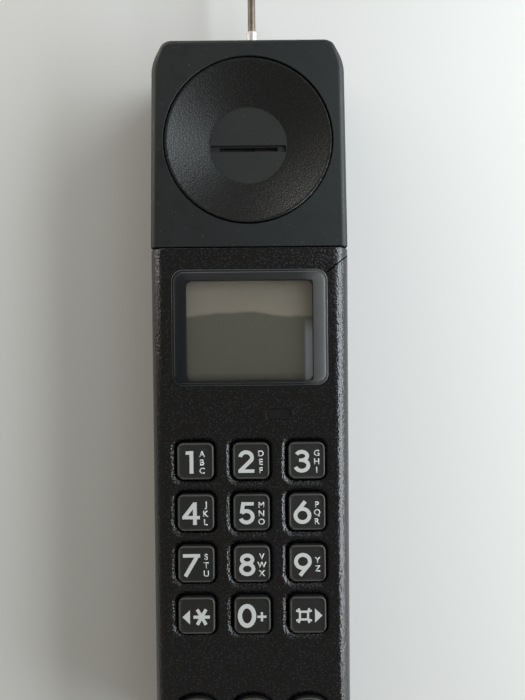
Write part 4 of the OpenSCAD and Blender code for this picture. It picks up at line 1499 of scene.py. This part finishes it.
@dataclass
class Keypad:
    """Twelve square keys and three oval keys, with their printed figures."""

    layout: Layout
    finishes: Finishes
    corner_r: float = 1.7 * MM
    dish: float = 0.12 * MM
    rim_w: float = 0.56 * MM
    ink_t: float = 0.03 * MM
    ink_sink: float = 0.02 * MM
    letter_h: float = 1.6 * MM
    letter_pitch: float = 2.2 * MM
    letter_drop: float = 0.28 * MM
    bar: OvalRing = (3.4 * MM, 0.9 * MM, 0.4 * MM)

    def build(self) -> list[bpy.types.Object]:
        """Model one square and one oval key, copy them, and print the figures."""
        pieces = []
        for nodes, printed in ((SQUARE_KEYS, self.legend), (OVAL_KEYS, self.mark)):
            first = self.cap(nodes[0])
            origin = self.layout.centre(nodes[0])
            for node in nodes:
                cap = Bench.copy(first, node + "_cap", self.layout.centre(node) - origin)
                pieces.append(Bench.stand_in(cap, node, "key_plastic", node))
                pieces.append(printed(node))
            bpy.data.objects.remove(first)
        return pieces

    def cap(self, node: str) -> bpy.types.Object:
        """A key: flange, walls, raised rim and a shallow dished face."""
        lay = self.layout
        low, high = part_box(node)
        cut = 2 * lay.flange_out
        w, h = high.x - low.x - cut, high.y - low.y - cut
        r = self.corner_r
        steps = [
            (-0.6, 0.0), (-0.3, 0.02), (-0.12, 0.09), (-0.03, 0.2), (0.0, 0.31), (0.0, 0.4), (-0.05, 0.5),
        ]
        sizes = [(low.z, w + cut, h + cut, r), (low.z + lay.flange_t, w + cut, h + cut, r)]
        sizes += [(low.z + lay.flange_t, w, h, r)]
        sizes += [(high.z + z * MM, w - 2 * x * MM, h - 2 * x * MM, r - 0.9 * x * MM) for z, x in steps]
        sizes += [(high.z - self.dish * t, w - 2 * x * MM, h - 2 * x * MM, r - x * 0.7 * MM)
                  for t, x in ((0.85, 0.64), (1.0, 1.3))]
        centre = middle(low, high)
        if node in OVAL_KEYS:
            cap = Ovals.stack(node + "_first", centre, [size[:3] for size in sizes])
        else:
            cap = Bench.stack(node + "_first", centre, sizes, 8)
        Bench.dress(cap, self.finishes.key_face, self.finishes.key_rim_painted_highlight)
        # the rim's top faces take the lighter rim finish, a painted highlight
        for face in cap.data.polygons:
            x, y = abs(face.center.x - centre[0]), abs(face.center.y - centre[1])
            outer = max(x / w, y / h) * 2
            on_rim = high.z - 0.2 * MM < face.center.z and outer > 1 - 2 * self.rim_w / min(w, h)
            face.material_index = int(on_rim and face.normal.z > 0.3)
        Bench.smooth(cap, 40)
        return cap

    def legend(self, node: str) -> bpy.types.Object:
        """The figure and letters printed on a square key, as one piece."""
        spot = self.layout.centre(node)
        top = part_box(node)[1].z - self.dish
        z0, z1 = top - self.ink_sink, top + self.ink_t
        signs = {
            "key_star": [("<", -2.74, -0.36), ("*", 1.3, -0.36)],
            "key_0": [("0", -1.4, -0.15), ("+", 2.5, -0.4)],
            "key_hash": [("#", -1.06, -0.2), (">", 2.8, -0.2)],
            "key_1": [("1", -1.0, -0.25)],
        }.get(node, [(node[-1], -1.22, -0.22)])
        letters = {
            "key_1": "ABC", "key_2": "DEF", "key_3": "GHI", "key_4": "JKL", "key_5": "MNO",
            "key_6": "PQR", "key_7": "STU", "key_8": "VWX", "key_9": "YZ",
        }.get(node, "")
        column = 1.75 * MM if node == "key_1" else 2.6 * MM
        parts = [Glyphs.sign(s, (spot.x + x * MM, spot.y + y * MM), z0, z1) for s, x, y in signs]
        for i, letter in enumerate(letters):
            rise = ((len(letters) - 1) / 2 - i) * self.letter_pitch - self.letter_drop
            place = (spot.x + column, spot.y + rise)
            parts.append(Glyphs.letter(letter, place, self.letter_h, z0, z1))
        legend = Bench.join(node + "_figure", parts)
        Bench.dress(legend, self.finishes.ink)
        return Bench.stand_in(legend, node, "key_plastic")

    def mark(self, node: str) -> bpy.types.Object:
        """The small bar printed on an oval key."""
        spot = self.layout.centre(node)
        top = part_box(node)[1].z - self.dish
        rings = [(top - self.ink_sink, *self.bar), (top + self.ink_t, *self.bar)]
        mark = Bench.stack(node + "_mark", (spot.x, spot.y), rings, 5)
        ink = {"key_end": self.finishes.red_ink, "key_call": self.finishes.green_ink}
        Bench.dress(mark, ink.get(node, self.finishes.ink))
        return Bench.stand_in(mark, node, "key_plastic")


@dataclass
class Rear:
    """Rear shell, battery pack and its release button, on their frame shapes with softened edges."""

    layout: Layout
    finishes: Finishes
    ridge_pitch: float = 1.5 * MM

    def build(self) -> list[bpy.types.Object]:
        """Model the pieces of the back."""
        black, shell = self.finishes.black, self.finishes.shell
        return [
            self.softened("rear_shell", "handset", "body_plastic", shell, 0.22 * MM),
            self.softened("battery_case", "battery", "body_plastic", shell, 0.22 * MM),
            self.softened("battery_cover", "battery", "body_plastic", black, 0.12 * MM),
            self.softened("system_connector", "handset", "black_plastic", black, 0.12 * MM),
            self.button(),
        ]

    def softened(
        self, node: str, body: str, slot: str, finish: bpy.types.Material, width: float
    ) -> bpy.types.Object:
        """A frame shape with its edges rounded and its sides drawn in like the front's."""
        piece = Bench.from_frame(node, node + "_moulding")
        Bench.soften(piece, width)
        self.layout.draw_in(piece)
        Bench.dress(piece, finish)
        Bench.smooth(piece)
        return Bench.stand_in(piece, body, slot, node)

    def button(self) -> bpy.types.Object:
        """Release button with grip ridges across it."""
        piece = Bench.from_frame("battery_latch", "battery_latch_button")
        low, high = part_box("battery_latch")
        middle = self.layout.centre("latch_spring").y
        grooves = [
            Bench.box(
                "groove", (-5.5 * MM, middle + i * self.ridge_pitch - 0.3 * MM, low.z - MM),
                (5.5 * MM, middle + i * self.ridge_pitch + 0.3 * MM, low.z + 0.35 * MM),
            )
            for i in (-1, 0, 1)
        ]
        Bench.cut(piece, grooves)
        Bench.soften(piece, 0.15 * MM)
        Bench.dress(piece, self.finishes.black)
        Bench.smooth(piece)
        return Bench.stand_in(piece, "latch", "black_plastic", "battery_latch")


@dataclass
class Antenna:
    """Pull-out whip in its bush, with a rounded cap."""

    layout: Layout
    finishes: Finishes
    bore: float = 1.18 * MM
    whip_r: float = 1.1 * MM

    def build(self) -> list[bpy.types.Object]:
        """Model the bush, the whip and the cap about their shared axis."""
        axis = self.layout.centre("antenna_whip")
        place = Matrix.Translation((axis.x, 0, axis.z)) @ Matrix.Rotation(math.radians(-90), 4, "X")
        return [self.bush(place), self.whip(place), self.cap(place)]

    def bush(self, place: Matrix) -> bpy.types.Object:
        """Plated bush: a threaded body, a flared foot and a plain collar."""
        low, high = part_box("antenna_bush")
        top = self.layout.head_high.y
        body, collar = 2.8 * MM, 1.55 * MM
        profile = [(self.bore, low.y), (body - 0.3 * MM, low.y)]
        y = low.y + 0.3 * MM
        while y < top - 0.9 * MM:
            profile += [(body, y), (body - 0.25 * MM, y + 0.3 * MM)]
            y += 0.6 * MM
        profile += [
            (body, top - 0.6 * MM), (body, top), (collar + 0.6 * MM, top + 0.05 * MM),
            (collar + 0.35 * MM, top + 0.7 * MM), (collar + 0.08 * MM, top + 1.6 * MM),
            (collar, top + 2.4 * MM),
            (collar, high.y - 0.25 * MM), (collar - 0.15 * MM, high.y - 0.05 * MM),
            (self.bore + 0.1 * MM, high.y), (self.bore, high.y - 0.1 * MM),
        ]
        bush = Bench.spin("antenna_ferrule", profile, place, 48)
        Bench.dress(bush, self.finishes.nickel)
        Bench.smooth(bush)
        return Bench.stand_in(bush, "handset", "nickel", "antenna_bush")

    def whip(self, place: Matrix) -> bpy.types.Object:
        """The rod, a hair thinner where it enters its cap."""
        low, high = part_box("antenna_whip")
        r = self.whip_r
        profile = [
            (0, low.y), (r - 0.15 * MM, low.y), (r, low.y + 0.15 * MM), (r, high.y - 2.4 * MM),
            (r - 0.12 * MM, high.y - 2.3 * MM), (r - 0.12 * MM, high.y - 0.2 * MM),
            (r - 0.3 * MM, high.y), (0, high.y),
        ]
        whip = Bench.spin("antenna_rod", profile, place, 40)
        Bench.dress(whip, self.finishes.copper)
        Bench.smooth(whip)
        return Bench.stand_in(whip, "antenna", "copper_rod", "antenna_whip")

    def cap(self, place: Matrix) -> bpy.types.Object:
        """Moulded cap: a short neck, a barrel with two grooves and a rounded end."""
        low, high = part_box("antenna_tip")
        r = (high.z - low.z) / 2
        profile = [(r - 0.75 * MM, low.y + 2 * MM), (r - 0.75 * MM, low.y), (r - 0.3 * MM, low.y),
                   (r - 0.05 * MM, low.y + 0.2 * MM), (r, low.y + 0.5 * MM)]
        for y in (3.0 * MM, 4.2 * MM):
            profile += [(r, low.y + y), (r - 0.2 * MM, low.y + y + 0.15 * MM),
                        (r - 0.2 * MM, low.y + y + 0.45 * MM), (r, low.y + y + 0.6 * MM)]
        for i in range(10):
            a = math.radians(9 * i)
            profile.append((r * math.cos(a), high.y - r + r * math.sin(a)))
        profile += [(0, high.y), (0, low.y + 2 * MM)]
        cap = Bench.spin("antenna_cap", profile, place, 48)
        Bench.dress(cap, self.finishes.black)
        Bench.smooth(cap)
        return Bench.stand_in(cap, "antenna", "black_plastic", "antenna_tip")


@dataclass(frozen=True)
class Lamp:
    """A rectangular soft light: its place, the point it shines at, its sides, watts and colour."""

    name: str
    at: tuple[float, float, float]
    to: tuple[float, float, float]
    size: Point
    power: float
    colour: Colour


LAMPS = (
    Lamp("window_light", (0.42, 0.05, 0.24), (0.0, 0.0, 0.0), (0.85, 0.19), 3.6, (0.88, 0.955, 1.0)),
    Lamp("side_light", (0.55, 0.02, 0.12), (0.0, 0.02, 0.0), (1.2, 0.2), 1.0, (0.97, 0.99, 1.0)),
    Lamp("high_light", (0.24, 0.27, 0.42), (0.0, 0.05, 0.0), (0.3, 0.22), 0.28, (0.84, 0.94, 1.0)),
    Lamp("left_light", (-0.44, 0.40, 0.15), (-0.08, 0.05, 0.0), (0.8, 0.2), 1.8, (1.0, 0.98, 0.92)),
)


@dataclass
class Studio:
    """Pale floor, soft light from the right and the camera over the phone."""

    lens_mm: float = 27.2
    camera_at: tuple[float, float, float] = (3.3 * MM, 16.75 * MM, 166.0 * MM)
    roll: float = math.radians(-0.53)

    def build(self) -> None:
        """Set up floor, world, lights and camera."""
        self.floor()
        self.world()
        for lamp in LAMPS:
            self.light(lamp)
        self.camera()
        bpy.context.scene.view_settings.view_transform = "Standard"

    def camera(self) -> None:
        """Hang the camera over the phone, looking straight down."""
        data = bpy.data.cameras.new("camera")
        data.lens = self.lens_mm
        data.clip_start = 0.005
        camera = bpy.data.objects.new("camera", data)
        camera.location = self.camera_at
        camera.rotation_euler = (0, 0, self.roll)
        bpy.context.scene.collection.objects.link(camera)
        bpy.context.scene.camera = camera

    def floor(self) -> None:
        """A plain pale floor."""
        Bench.clear()
        bpy.ops.mesh.primitive_plane_add(size=4, location=(0, 0, 0))
        floor = bpy.context.object
        floor.name = "floor"
        p = Pattern("pale_floor")
        Bench.dress(floor, p.surface(Base_Color=(0.80, 0.785, 0.77), Roughness=0.6))

    def world(self) -> None:
        """Even pale light from all round."""
        world = bpy.data.worlds.new("studio")
        world.use_nodes = True
        back = world.node_tree.nodes["Background"]
        back.inputs["Color"].default_value = (1.0, 0.97, 0.84, 1)
        back.inputs["Strength"].default_value = 0.205
        bpy.context.scene.world = world

    def light(self, lamp: Lamp) -> None:
        """Hang one lamp and aim it.

        Args:
            lamp: the lamp's place, aim, size and light.
        """
        data = bpy.data.lights.new(lamp.name, "AREA")
        data.shape = "RECTANGLE"
        data.size, data.size_y = lamp.size
        data.energy = lamp.power
        data.color = lamp.colour
        obj = bpy.data.objects.new(lamp.name, data)
        obj.location = lamp.at
        obj.rotation_euler = (Vector(lamp.to) - Vector(lamp.at)).to_track_quat("-Z", "Y").to_euler()
        bpy.context.scene.collection.objects.link(obj)


class Inside:
    """Frame nodes whose own shape is right: they only take their finishes."""

    @staticmethod
    def dress(finishes: Finishes) -> None:
        """Give every frame node the finish of its record slot."""
        slots = {part["node"]: part["material_slot"] for part in frame["record"]["subparts"]}
        for node, obj in frame["nodes"].items():
            material = finishes.for_slot(slots[node])
            if not obj.material_slots:
                obj.data.materials.append(material)
            for holder in obj.material_slots:
                holder.material = material


def main() -> None:
    """Build the phone and its studio."""
    logging.basicConfig(level=logging.INFO, format="%(name)s: %(message)s")
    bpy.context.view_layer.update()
    Studio().build()
    finishes = Finishes()
    Inside.dress(finishes)
    layout = Layout()
    FrontShell(layout, finishes).build()
    Head(layout, finishes).build()
    Display(layout, finishes).build()
    Keypad(layout, finishes).build()
    Rear(layout, finishes).build()
    Antenna(layout, finishes).build()
    Bench.clear()


if __name__ == "__main__":
    main()
